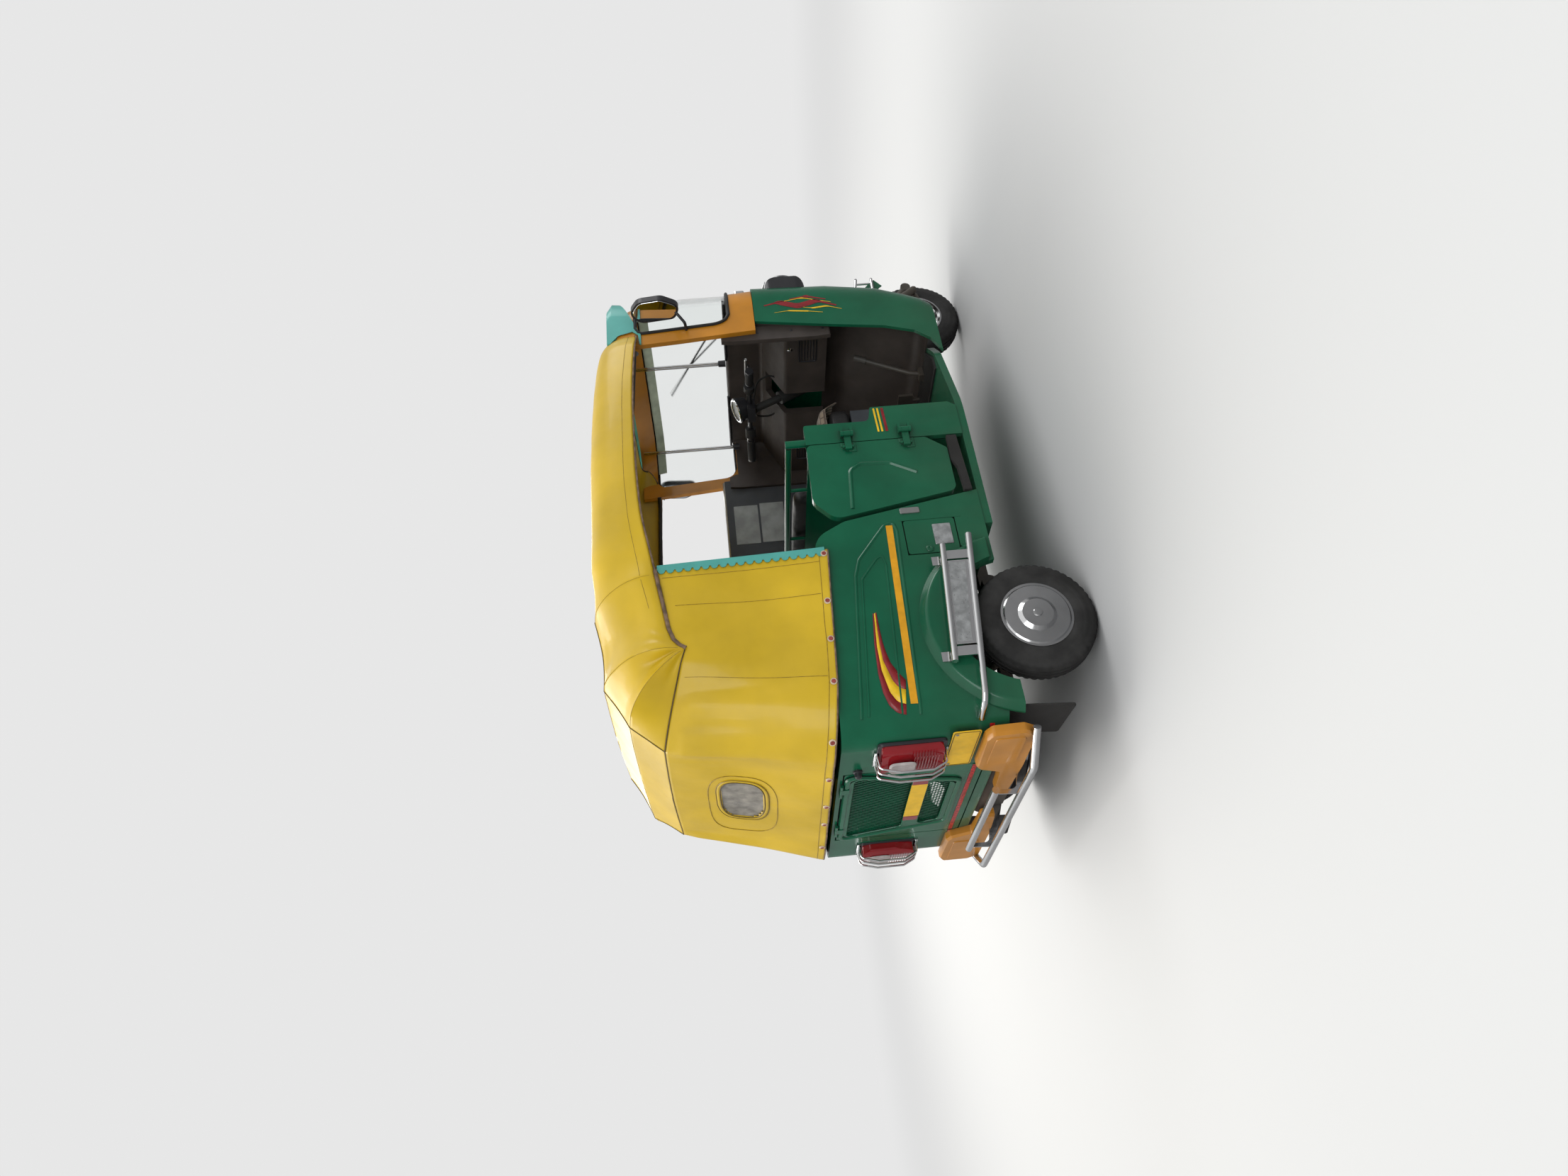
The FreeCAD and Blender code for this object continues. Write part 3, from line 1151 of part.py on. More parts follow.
def trailing_arm():
    """Rear arm from its bush on the chassis rail to the hub carrier, with the shock."""
    bush = Part.makeCylinder(S.arm_tube_radius + 6, 70, V(S.arm_pivot_x, rail_out, arm_z),
                             V(0, 1, 0))
    arm = tube([(S.arm_pivot_x, rail_out + 40, arm_z), (S.arm_pivot_x - 90, 400, arm_z - 6),
                (S.rear_axle_x + 20, hub_face - 50, hub_z)], S.arm_tube_radius, 80)
    carrier = Part.makeCylinder(S.hub_radius + 8, 74, V(S.rear_axle_x, hub_face - 74, hub_z),
                                V(0, 1, 0))
    return joined([bush, arm, carrier])


def rear_shock():
    x, y = S.shock_top_x, 440
    top = S.bench_box_top_z - S.bench_box_wall - 0.3
    foot = hub_z + 36
    spring = Part.makeCylinder(S.shock_radius, top - foot - 70, V(x, y, foot + 34))
    shaft = Part.makeCylinder(S.shock_rod_radius, top - foot, V(x, y, foot))
    cups = [Part.makeCylinder(S.shock_radius + 5, 6, V(x, y, z))
            for z in (foot + 28, top - 42)]
    return joined([spring, shaft] + cups)


arm, shock = trailing_arm(), rear_shock()
shock = shock.cut(arm)
feature("trailing_arms", Part.makeCompound([mirrored(arm), arm]))
feature("rear_shocks", Part.makeCompound([mirrored(shock), shock]))

engine = doc.addObject("Part::Box", "engine_block")
engine.setExpression("Length", "Sizes.engine_length")
engine.setExpression("Width", "Sizes.engine_width")
engine.setExpression("Height", "Sizes.engine_height")
place(engine, "Sizes.engine_x - Sizes.engine_length / 2", "-Sizes.engine_width / 2",
      "Sizes.floor_z - Sizes.floor_thickness")
nodes["engine_block"] = engine


def drive_shaft():
    inner, outer = S.engine_width / 2 + 0.3, hub_face - 74.3
    start = V(S.rear_axle_x - 10, inner, hub_z + 132)
    end = V(S.rear_axle_x, outer, hub_z)
    shaft = Part.makeCylinder(S.drive_shaft_radius, (end - start).Length, start, end - start)
    boots = [Part.makeCone(S.joint_boot_radius, S.drive_shaft_radius + 4, 60, V(start.x, inner, start.z),
                           V(0, 1, -0.35)),
             Part.makeCone(S.joint_boot_radius, S.drive_shaft_radius + 4, 60, end,
                           V(0, -1, 0.35))]
    whole = joined([shaft] + boots)
    keep = block((start.x - 100, inner, 0), (start.x + 100, outer, 800))
    return whole.common(keep).cut(arm)


shaft = drive_shaft()
feature("drive_shafts", Part.makeCompound([mirrored(shaft), shaft]))

silencer = doc.addObject("Part::Cylinder", "silencer")
silencer.setExpression("Radius", "Sizes.silencer_radius")
silencer.setExpression("Height", "Sizes.silencer_length")
silencer.Placement.Rotation = FreeCAD.Rotation(V(1, 0, 0), -90)
place(silencer, "Sizes.rear_face_x + Sizes.silencer_radius + 12", "-Sizes.silencer_length / 2",
      "Sizes.floor_z - Sizes.floor_thickness + Sizes.silencer_radius")
nodes["silencer"] = silencer

flap_y = -S.body_half_width + 6 + SEAT
flap = block((S.flap_x, flap_y, S.flap_low_z),
             (S.flap_x + S.flap_wall, flap_y + S.flap_width, S.flap_top_z))
feature("mudflaps", Part.makeCompound([flap, mirrored(flap)]))


# Steering and front wheel
def steering_fork():
    """Raked column, cranked fork tube, trailing link with its axle, and the shock."""
    side = S.fork_side_y
    crown = V(steer_x(S.crown_z), 0, S.crown_z)
    column = rod((crown.x, 0, crown.z), (steer_x(S.handle_z - 24), 0, S.handle_z - 24),
                 S.column_radius)
    pivot = (S.link_front_x, side, S.link_front_z)
    leg = tube([(crown.x - 6, 0, crown.z + 12), (crown.x + 6, side * 0.5, crown.z + 4),
                (crown.x + 44, side, crown.z - 18), pivot], S.fork_tube_radius, 40)
    link = tube([pivot, (front_axle_x + 60, side, hub_z - 4), (front_axle_x, side, hub_z)],
                S.fork_tube_radius - 5, 60)
    boss = Part.makeCylinder(S.fork_tube_radius + 3, 40, V(pivot[0], side - 20, pivot[2]),
                             V(0, 1, 0))
    axle_end = -S.rim_width / 2 - 0.4
    hub = Part.makeCylinder(S.hub_radius, axle_end - side + 14,
                            V(front_axle_x, side - 14, hub_z), V(0, 1, 0))
    shock = rod((front_axle_x + 70, side - 38, hub_z + 10), (crown.x + 66, side - 38, crown.z + 14),
                17)
    foot = rod((front_axle_x + 70, side - 50, hub_z + 10), (front_axle_x + 70, side, hub_z + 10), 9)
    head = rod((crown.x + 66, side - 50, crown.z + 14), (crown.x + 30, side * 0.6, crown.z - 6), 9)
    stay_x, stay_z = crown.x + 85, crown.z - 50
    stay = Part.makeCylinder(10, -S.mudguard_half - SEAT - side, V(stay_x, side, stay_z), V(0, 1, 0))
    return joined([column, leg, link, boss, hub, shock, foot, head, stay])


feature("steering_fork", steering_fork())

handle_turn = math.degrees(math.atan(steer_slope))


def handlebar():
    """Bar with swept grips, clamp and two levers."""
    x, z, half = S.handle_x, S.handle_z, S.bar_half
    bar = tube([(x - 40, -half, z), (x + 8, -half * 0.45, z), (x + 8, half * 0.45, z),
                (x - 40, half, z)], S.bar_radius, 60)
    shapes = [bar]
    for sign in (-1, 1):
        grip_to = V(x - 40, sign * half, z)
        heading = (V(x - 40, sign * half, z) - V(x + 8, sign * half * 0.45, z)).normalize()
        start = grip_to - heading * S.grip_length
        shapes.append(Part.makeCylinder(S.grip_radius, S.grip_length, start, heading))
        pivot = start - heading * 20 + V(14, 0, 0)
        shapes.append(rod(tuple(start - heading * 22), tuple(pivot + V(14, 0, 0)), 9))
        shapes.append(rod(tuple(pivot + V(12, 0, 0)),
                          tuple(pivot + heading * 120 + V(26, 0, 0)), 4.5))
    shapes.append(block((x - 26, -46, z - 24), (x + 30, 46, z + 12)))
    column = rod((steer_x(z - 200), 0, z - 200), (steer_x(z - 20), 0, z - 20),
                 S.column_radius + 0.3)
    return joined(shapes).cut(column)


feature("handlebar", handlebar())


def speedometer():
    x, z = S.handle_x + 6, S.handle_z + 12.3
    dial = Part.makeCone(S.meter_radius - 10, S.meter_radius, S.meter_height - 14, V(x + 20, 0, z + 2),
                         V(-0.35, 0, 0.94))
    base = block((x - 20, -30, z), (x + 26, 30, z + 12))
    trim = block((x - 200, -200, z - 80), (x + 200, 200, z))
    return joined([dial, base]).cut(trim)


feature("speedometer", speedometer())


def wheel_arc(radius, angle):
    turn = math.radians(angle)
    return front_axle_x + radius * math.cos(turn), hub_z + radius * math.sin(turn)


def ring_sector(inner, outer, low_y, high_y):
    """Part of a ring about the front axle between the mudguard's two angles."""
    first, last = S.mudguard_front_angle, S.mudguard_rear_angle
    points = [[wheel_arc(radius, angle) for angle in (first, (first + last) / 2, last)]
              for radius in (inner, outer)]
    (a, b, c), (d, e, f) = points

    def at(point):
        return V(point[0], low_y, point[1])
    edges = [Part.Arc(at(a), at(b), at(c)).toShape(), Part.makeLine(at(c), at(f)),
             Part.Arc(at(f), at(e), at(d)).toShape(), Part.makeLine(at(d), at(a))]
    return Part.Face(Part.Wire(edges)).extrude(V(0, high_y - low_y, 0))


def front_mudguard():
    radius, wall, half = S.mudguard_radius, S.mudguard_wall, S.mudguard_half
    top = ring_sector(radius, radius + wall, -half, half)
    skirts = [ring_sector(radius - S.mudguard_skirt, radius + wall, low, low + wall * 0.6)
              for low in (-half, half - wall * 0.6)]
    return joined([top] + skirts)


mudguard = front_mudguard()
feature("front_mudguard", mudguard)


def front_guard():
    """Two bent bars round the front of the mudguard."""
    near, tip = S.mudguard_half + S.guard_tube + SEAT, S.guard_front_x - S.guard_tube
    shapes = []
    for z, back, rise in ((S.guard_high_z, front_axle_x + 90, 26),
                          (S.guard_low_z, front_axle_x + 140, 6)):
        shapes.append(tube([(back, -near, z + rise), (tip - 16, -near, z + 4),
                            (tip, -near + 22, z), (tip, near - 22, z), (tip - 16, near, z + 4),
                            (back, near, z + rise)], S.guard_tube, 20))
    for y in (-near / 2, near / 2):
        shapes.append(rod((tip, y, S.guard_low_z), (tip, y, S.guard_high_z), S.guard_tube - 2))
    return joined(shapes)


feature("front_guard_bars", front_guard())


def hand_controls():
    """Hand-brake lever and the foot pedal on the floor."""
    foot_z = S.floor_z + S.mat_thickness + 2 * SEAT
    lever = tube([(520, -300, foot_z + 4), (531, -300, 363), (630, -300, 560)], 10, 30)
    knob = rod((618, -300, 536), (642, -300, 584), 14)
    base = block((496, -318, foot_z), (544, -282, foot_z + 20))
    pedal = block((500, -190, foot_z + 34), (512, -120, foot_z + 96))
    arm = rod((508, -155, foot_z), (508, -155, foot_z + 60), 8)
    return Part.makeCompound([joined([lever, knob, base]), joined([pedal, arm])])


feature("hand_controls", hand_controls())


# Export
OUTPUT = "parts"


def check_and_export():
    doc.recompute()
    for item in doc.Objects:
        if {"Invalid", "Error"} & set(item.State):
            raise RuntimeError(f"{item.Label} failed: {item.State}")
    os.makedirs(OUTPUT, exist_ok=True)
    for name, piece in nodes.items():
        piece.Label = name
        shape = piece.Shape
        if shape.isNull() or not shape.isValid() or not shape.Solids:
            raise RuntimeError(f"{name} has no valid solid")
        shape.exportStep(os.path.join(OUTPUT, name + ".step"))


check_and_export()
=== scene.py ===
import math
from itertools import product
import bpy
import bmesh
from mathutils import Vector, Matrix, noise

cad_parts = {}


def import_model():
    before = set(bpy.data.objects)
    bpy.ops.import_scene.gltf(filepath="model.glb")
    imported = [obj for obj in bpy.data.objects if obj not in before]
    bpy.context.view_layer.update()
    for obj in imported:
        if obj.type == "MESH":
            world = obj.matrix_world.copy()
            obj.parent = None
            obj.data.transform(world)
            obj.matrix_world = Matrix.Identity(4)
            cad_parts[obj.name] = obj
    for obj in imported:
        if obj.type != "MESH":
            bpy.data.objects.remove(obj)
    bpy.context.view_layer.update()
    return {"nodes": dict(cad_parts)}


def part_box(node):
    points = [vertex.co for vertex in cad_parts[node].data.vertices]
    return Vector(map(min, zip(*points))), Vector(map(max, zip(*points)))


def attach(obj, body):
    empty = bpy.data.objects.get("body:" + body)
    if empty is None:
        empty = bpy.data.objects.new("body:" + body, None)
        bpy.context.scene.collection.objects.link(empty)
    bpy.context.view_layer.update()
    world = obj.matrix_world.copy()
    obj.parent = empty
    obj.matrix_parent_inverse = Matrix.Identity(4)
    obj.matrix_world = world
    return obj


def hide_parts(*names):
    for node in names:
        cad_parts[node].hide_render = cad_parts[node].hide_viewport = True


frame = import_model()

V = Vector
SIDES = ((-1, "right"), (1, "left"))


def lerp(a, b, t):
    return a + (b - a) * t


def steps(a, b, n=24):
    return [lerp(a, b, k / n) for k in range(n + 1)]


def turns(n):
    return [2 * math.pi * k / n for k in range(n)]


# Materials

def feed(tree, node, *feeds):
    """Sets a node's inputs, or links them where the value is another node's output."""
    for socket, value in feeds:
        if isinstance(value, bpy.types.NodeSocket):
            tree.links.new(value, node.inputs[socket])
        else:
            node.inputs[socket].default_value = value
    return node


def wire(tree, kind, *feeds, **settings):
    """A new shader node with its settings and inputs."""
    node = tree.nodes.new("ShaderNode" + kind)
    for name, value in settings.items():
        setattr(node, name, value)
    return feed(tree, node, *feeds)


def material(name, color, rough, metal=0, coat=0, vary=0.12, vary_scale=6, grain=0,
             grain_scale=400, wave=0, wave_scale=3, dust=0, painted_cavity_shade=0, specular=0.5,
             transmission=0, alpha=1, ior=1.45, sheen=0, rough_vary=0.08):
    """A procedural surface: colour patches, fine grain, slow waves, low dust and painted shade darkening its
    cavities.
    """
    mat = bpy.data.materials.new(name)
    mat.use_nodes = True
    tree = mat.node_tree
    place = wire(tree, "TexCoord").outputs["Object"]

    def cloudy(scale, detail, stretch=None):
        at = wire(tree, "Mapping", ("Vector", place), ("Scale", stretch)).outputs[0] if stretch else place
        return wire(tree, "TexNoise", ("Vector", at), ("Scale", scale), ("Detail", detail)).outputs["Fac"]

    def mapped(value, *feeds):
        return wire(tree, "MapRange", ("Value", value), *feeds).outputs["Result"]

    def mixed(factor, first, second):
        return wire(tree, "Mix", (0, factor), (6, first), (7, second), data_type="RGBA").outputs[2]

    ramp = wire(tree, "ValToRGB", ("Fac", cloudy(vary_scale, 4.0)))
    dark, pale = ramp.color_ramp.elements
    dark.position, pale.position = 0.35, 0.68
    dark.color = (*[c * (1 - vary) for c in color], 1)
    pale.color = (*[min(1, c * (1 + vary) + 0.01 * vary) for c in color], 1)
    tone = ramp.outputs["Color"]
    if dust:
        height = wire(tree, "SeparateXYZ", (0, place)).outputs["Z"]
        low = mapped(height, ("From Min", 0.75), ("From Max", 0.2), ("To Max", dust))
        amount = wire(tree, "Math", (0, low), (1, cloudy(9.0, 6.0, (1.0, 1.0, 0.25))),
                      operation="MULTIPLY")
        tone = mixed(amount.outputs[0], tone, (0.16, 0.13, 0.1, 1))
    # Painted shade: where ambient occlusion finds nearby surfaces, in corners and creases, the colour is
    # darkened towards near black.
    if painted_cavity_shade:
        opening = wire(tree, "AmbientOcclusion", ("Distance", 0.03), samples=4).outputs["AO"]
        shade = mapped(opening, ("From Min", 0.85), ("From Max", 0.35), ("To Max", painted_cavity_shade))
        tone = mixed(shade, tone, (0.02, 0.018, 0.015, 1))
    worn = rough
    if transmission < 0.5:
        worn = mapped(cloudy(vary_scale * 3, 5.0), ("To Min", max(0.02, rough - rough_vary)),
                      ("To Max", min(1.0, rough + rough_vary)))
    normal = []
    for strength, scale in ((wave, wave_scale), (grain, grain_scale)):
        if strength:
            bump = wire(tree, "Bump", ("Strength", strength), ("Height", cloudy(scale, 2.0)),
                        ("Distance", 0.02 if scale < 20 else 0.001), *normal)
            normal = [("Normal", bump.outputs["Normal"])]
    feed(tree, tree.nodes["Principled BSDF"], ("Base Color", tone), ("Roughness", worn),
         ("Metallic", metal), ("Coat Weight", coat), ("Coat Roughness", 0.08), ("IOR", ior),
         ("Specular IOR Level", specular), ("Transmission Weight", transmission),
         ("Alpha", alpha), ("Sheen Weight", sheen), *normal)
    return mat


# Each row: name, colour, roughness, metal, coat, colour variation and its scale, grain and its
# scale, waves and their scale, dust, painted shade in cavities, specular
M = {
    "green": material("green_paint", (0.0012, 0.102, 0.047), 0.22, 0, 0.3, 0.12, 6, 0.05, 900,
                      0.06, 4, 0.25, 0.6, 0.3),
    "orange": material("orange_paint", (0.52, 0.205, 0.008), 0.34, 0, 0.3, 0.12, 6, 0.08, 700,
                       0.05, 3, 0.3, 0.5),
    "hood": material("hood_vinyl", (0.6, 0.395, 0.01), 0.4, 0, 0.12, 0.12, 3.5, 0.22, 900,
                     0.16, 9, 0, 0.25),
    "hem": material("weathered_hem", (0.17, 0.11, 0.07), 0.85, 0, 0, 0.45, 40, 0.6, 300),
    "seam": material("dark_piping", (0.1, 0.065, 0.02), 0.7, 0, 0, 0.3, 60, 0.4, 600),
    "stitch": material("stitch_line", (0.3, 0.19, 0.012), 0.6, 0, 0, 0.3, 90, 0.3, 900),
    "teal": material("teal_plastic", (0.09, 0.42, 0.37), 0.35, 0, 0.2, 0.12, 6, 0.05, 300,
                     transmission=0.15),
    "black_steel": material("black_steel", (0.022, 0.022, 0.021), 0.5, 0, 0, 0.3, 6, 0.25, 300,
                            0, 3, 0.9, 0.3),
    "cast": material("cast_metal", (0.1, 0.1, 0.095), 0.55, 0.7, 0, 0.35, 6, 0.5, 250, 0, 3, 0.6),
    "silencer": material("silencer_steel", (0.13, 0.1, 0.08), 0.6, 0.6, 0, 0.5, 6, 0.3, 200),
    "chrome": material("chrome_plate", (0.78, 0.78, 0.78), 0.09, 1, 0, 0.06, 6, 0.05, 500,
                       0.04, 18, 0, 0.4, rough_vary=0.04),
    "hub": material("hub_chrome", (0.74, 0.74, 0.74), 0.12, 1, 0, 0.14, 6, 0.08, 600,
                    0.03, 18, 0, 0.5, rough_vary=0.05),
    "steel": material("zinc_steel", (0.42, 0.42, 0.41), 0.35, 0.9, 0, 0.15, 6, 0.15, 500),
    "tyre": material("tyre_rubber", (0.026, 0.025, 0.024), 0.78, 0, 0, 0.3, 14, 0.3, 420,
                     0, 3, 0, 0.2),
    "rubber": material("black_rubber", (0.014, 0.014, 0.014), 0.65, 0, 0, 0.25, 6, 0.3, 350,
                       0, 3, 0.12),
    "black": material("black_plastic", (0.018, 0.018, 0.021), 0.38, 0, 0.1, 0.2, 6, 0.12, 500),
    "brown": material("brown_plastic", (0.046, 0.036, 0.031), 0.55, 0, 0, 0.18, 10, 0.35, 520,
                      0, 3, 0, 0.3),
    "grey": material("grey_board", (0.06, 0.066, 0.075), 0.55, 0, 0, 0.15, 6, 0.2, 420),
    "seat": material("seat_vinyl", (0.02, 0.019, 0.019), 0.45, 0, 0, 0.25, 12, 0.35, 650,
                     0.12, 16),
    "red": material("red_lens", (0.24, 0.003, 0.007), 0.1, 0, 0.6, 0.15, 6, 0.06, 500),
    "amber": material("amber_lens", (0.75, 0.2, 0.01), 0.12, 0, 0.6, 0.1, 6, 0.1, 300),
    "clear": material("clear_lens", (0.62, 0.56, 0.54), 0.08, 0, 0.5, 0.15, 40, 0.15, 160,
                      transmission=0.35),
    "glass": material("screen_glass", (0.88, 0.94, 0.92), 0.02, vary=0.02, transmission=1.0,
                      ior=1.12, alpha=0.32),
    "film": material("window_film", (0.36, 0.33, 0.28), 0.14, 0, 0, 0.35, 22, 0, 400, 0.5, 24,
                     transmission=0.35),
    "strip": material("sun_strip", (0.46, 0.54, 0.42), 0.4, 0, 0, 0.15, 25, 0.1),
    "mirror": material("mirror_glass", (0.85, 0.87, 0.88), 0.03, 1, 0, 0.02, rough_vary=0.01),
    "stripe": material("amber_stripe", (0.72, 0.33, 0.005), 0.33, 0, 0.2, 0.1, 30, 0.1, 700),
    "decal_red": material("decal_red", (0.23, 0.008, 0.012), 0.35, 0, 0.2, 0.15, 30, 0.1, 700),
    "decal_yellow": material("decal_yellow", (0.8, 0.5, 0.008), 0.33, 0, 0.2, 0.1, 30, 0.1, 700),
    "tape": material("reflective_tape", (0.4, 0.01, 0.012), 0.3, 0, 0.3, 0.6, 120, 0.3, 300),
    "plate": material("plate_yellow", (0.8, 0.48, 0.01), 0.35, 0, 0, 0.08, 25, 0.1, 400,
                      0, 3, 0, 0.5),
    "cream": material("cream_plastic", (0.62, 0.5, 0.38), 0.4, 0, 0, 0.12, 6, 0.1, 300),
    "stud": material("stud_red", (0.3, 0.055, 0.045), 0.4, 0, 0, 0.2, 60, 0.2, 500),
    "sheet": material("pale_sheet", (0.34, 0.36, 0.36), 0.5, 0, 0, 0.18, 18, 0.1, 300),
    "grey_plate": material("worn_plate", (0.45, 0.46, 0.46), 0.3, 0.6, 0, 0.25, 40, 0.25, 260),
    "cover": material("seat_cover", (0.3, 0.24, 0.18), 0.85, 0, 0, 0.12, 18, 0.5, 600, sheen=0.2),
}


def weave_check(tree):
    """Weaves a brown check over the driver's seat cover."""
    shader = tree.nodes["Principled BSDF"]
    bricks = wire(tree, "TexBrick", ("Color1", (0.36, 0.29, 0.21, 1)),
                  ("Color2", (0.25, 0.19, 0.14, 1)), ("Mortar", (0.05, 0.028, 0.022, 1)),
                  ("Scale", 14), ("Mortar Size", 0.05),
                  ("Vector", wire(tree, "TexCoord").outputs["Object"]))
    base = shader.inputs["Base Color"].links[0].from_socket
    check = wire(tree, "Mix", (0, 0.75), (6, base), (7, bricks.outputs["Color"]), data_type="RGBA")
    feed(tree, shader, ("Base Color", check.outputs[2]))


weave_check(M["cover"].node_tree)

NODE_MATERIALS = {
    "green": "front_apron b_panel_left b_panel_right quarter_panel_left quarter_panel_right fuel_lid "
             "passenger_door engine_lid floor_pan partition front_mudguard rear_deck bench_box",
    "orange": "front_cowl bumper_pads",
    "teal": "visor",
    "black_steel": "chassis_frame hood_frame trailing_arms rear_shocks drive_shafts steering_fork "
                   "hand_controls",
    "cast": "engine_block",
    "silencer": "silencer",
    "chrome": "rear_guard_bars side_guard_bars tail_lamp_guards front_guard_bars front_indicators",
    "rubber": "floor_mat mudflaps",
    "glass": "windscreen_glass",
    "clear": "headlamp_lenses",
    "red": "tail_lamps",
    "black": "headlamp_pods mirrors speedometer handlebar",
    "brown": "dashboard toe_board",
    "plate": "number_plate",
    "grey": "left_side_panel driver_seat_box",
    "hub": "front_rim rear_left_rim rear_right_rim",
}
for key, names in NODE_MATERIALS.items():
    for name in names.split():
        mesh = frame["nodes"][name].data
        mesh.materials.clear()
        mesh.materials.append(M[key])


# Mesh helpers

def piece(name, verts, faces, mat, body="body", smooth=True):
    """A mesh in the row frame that rides on a body."""
    mesh = bpy.data.meshes.new(name)
    mesh.from_pydata([tuple(v) for v in verts], [], faces)
    work = bmesh.new()
    work.from_mesh(mesh)
    bmesh.ops.recalc_face_normals(work, faces=work.faces)
    work.to_mesh(mesh)
    work.free()
    if smooth:
        mesh.polygons.foreach_set("use_smooth", [True] * len(mesh.polygons))
        mesh.set_sharp_from_angle(angle=math.radians(38))
    mesh.materials.append(M[mat])
    obj = bpy.data.objects.new(name, mesh)
    bpy.context.scene.collection.objects.link(obj)
    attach(obj, body)
    return obj


def cluster(name, mat, shapes, body="body", smooth=True):
    """One piece of many small meshes."""
    verts, faces = [], []
    for more, cells in shapes:
        base = len(verts)
        verts.extend(more)
        faces.extend(tuple(i + base for i in cell) for cell in cells)
    return piece(name, verts, faces, mat, body, smooth)


def stand_for(obj, node):
    """Shows a piece in place of a node of the CAD model."""
    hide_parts(node)
    return obj


def rounded(points, bend=0.03, steps=6, closed=False):
    """A path with its corners turned by short arcs."""
    points = [V(p) for p in points]
    count, out = len(points), []
    for i, here in enumerate(points):
        before, after = points[i - 1] - here, points[(i + 1) % count] - here
        angle = 0 if not closed and i in (0, count - 1) else before.angle(after)
        if not 0 < angle <= math.radians(176):
            out.append(here)
            continue
        reach = min(bend / math.tan(angle / 2), 0.48 * before.length, 0.48 * after.length)
        a, b = here + before.normalized() * reach, here + after.normalized() * reach
        for k in range(steps + 1):
            t = k / steps
            out.append(a * (1 - t) ** 2 + here * 2 * t * (1 - t) + b * t * t)
    return out


def outline(points, bend, steps=5, closed=True):
    """A rounded path in a plane."""
    return [(p.x, p.y) for p in rounded([(a, b, 0) for a, b in points], bend, steps, closed)]


def round_rect(low_a, low_b, high_a, high_b, radius):
    return outline([(low_a, low_b), (high_a, low_b), (high_a, high_b), (low_a, high_b)], radius)


def sweep(path, ring, closed=False, up=None):
    """A ring of (sideways, upward) points carried along a path."""
    count, sides = len(path), len(ring)
    verts, faces, side = [], [], None
    for i, here in enumerate(path):
        before = path[i - 1] if closed or i else here
        after = path[(i + 1) % count] if closed or i < count - 1 else here
        heading = (after - before).normalized()
        if up is not None:
            side = heading.cross(up[i] if isinstance(up, list) else up).normalized()
        elif side is None:
            side = heading.orthogonal().normalized()
        else:
            side = (side - heading * side.dot(heading)).normalized()
        rise = side.cross(heading)
        verts.extend(here + side * a + rise * b for a, b in ring)
    for i in range(count if closed else count - 1):
        j = (i + 1) % count
        for k in range(sides):
            m = (k + 1) % sides
            faces.append((i * sides + k, i * sides + m, j * sides + m, j * sides + k))
    if not closed:
        faces.append(tuple(range(sides))[::-1])
        faces.append(tuple((count - 1) * sides + k for k in range(sides)))
    return verts, faces


def circle(radius, sides=12, flat=1.0):
    return [(radius * math.cos(a), radius * flat * math.sin(a)) for a in turns(sides)]


def bar(points, radius, bend=0.03, sides=12):
    return sweep(rounded(points, bend), circle(radius, sides))


def lathe(profile, at, axis="Y", sides=64, sign=1):
    """Turns (along, radius) points about an axis through a point."""
    verts, n = [], len(profile)
    for a in turns(sides):
        for along, radius in profile:
            v = [radius * math.cos(a), radius * math.sin(a)]
            v.insert("XYZ".index(axis), sign * along)
            verts.append(V(at) + V(v))
    faces = []
    for k in range(sides):
        m = (k + 1) % sides
        faces += [(k * n + i, k * n + i + 1, m * n + i + 1, m * n + i) for i in range(n - 1)]
    return verts, faces


def slab(shape, lift, depth, edge=0.0015):
    """A plate from a flat outline: lift(a, b, height) places its points."""
    n = len(shape)
    middle = (sum(p[0] for p in shape) / n, sum(p[1] for p in shape) / n)

    def inset(p):
        d = V((middle[0] - p[0], middle[1] - p[1]))
        d = d.normalized() * edge if d.length > edge else d
        return p[0] + d.x, p[1] + d.y
    verts = [lift(a, b, 0) for a, b in shape] + [lift(a, b, depth - edge) for a, b in shape]
    verts += [lift(*inset(p), depth) for p in shape]
    faces = [tuple(range(n))[::-1], tuple(range(2 * n, 3 * n))]
    for r, k in product((0, n), range(n)):
        m = (k + 1) % n
        faces.append((r + k, r + m, r + n + m, r + n + k))
    return verts, faces


def ribbon(line, widths, lift, height):
    """A flat band along a line of (a, b) points, laid on a surface by lift(a, b, height)."""
    left, right = [], []
    for i, (a, b) in enumerate(line):
        before, after = line[max(i - 1, 0)], line[min(i + 1, len(line) - 1)]
        d = V((after[0] - before[0], after[1] - before[1])).normalized()
        w = widths[i] if isinstance(widths, list) else widths
        left.append(lift(a - d.y * w / 2, b + d.x * w / 2, height))
        right.append(lift(a + d.y * w / 2, b - d.x * w / 2, height))
    n = len(line)
    return left + right, [(i, i + 1, n + i + 1, n + i) for i in range(n - 1)]


def grid(fn, nu, nv):
    verts = [fn(i / nu, j / nv) for i in range(nu + 1) for j in range(nv + 1)]
    row = nv + 1
    return verts, [(i * row + j, (i + 1) * row + j, (i + 1) * row + j + 1, i * row + j + 1)
                   for i in range(nu) for j in range(nv)]


def solidify(obj, thickness, offset=-1.0):
    mod = obj.modifiers.new("thickness", "SOLIDIFY")
    mod.thickness, mod.offset = thickness, offset
    return obj


def smooth_step(t):
    t = max(0.0, min(1.0, t))
    return t * t * (3 - 2 * t)


def along(table, x):
    """Straight-line reading of a table of rows whose first number is the place."""
    if x <= table[0][0]:
        return table[0][1:]
    for low, high in zip(table, table[1:]):
        if x <= high[0]:
            t = (x - low[0]) / (high[0] - low[0])
            return [lerp(a, b, t) for a, b in zip(low[1:], high[1:])]
    return table[-1][1:]


def reaches(line):
    """Length along a line up to each of its points."""
    out = [0.0]
    for a, b in zip(line, line[1:]):
        out.append(out[-1] + (b - a).length)
    return out


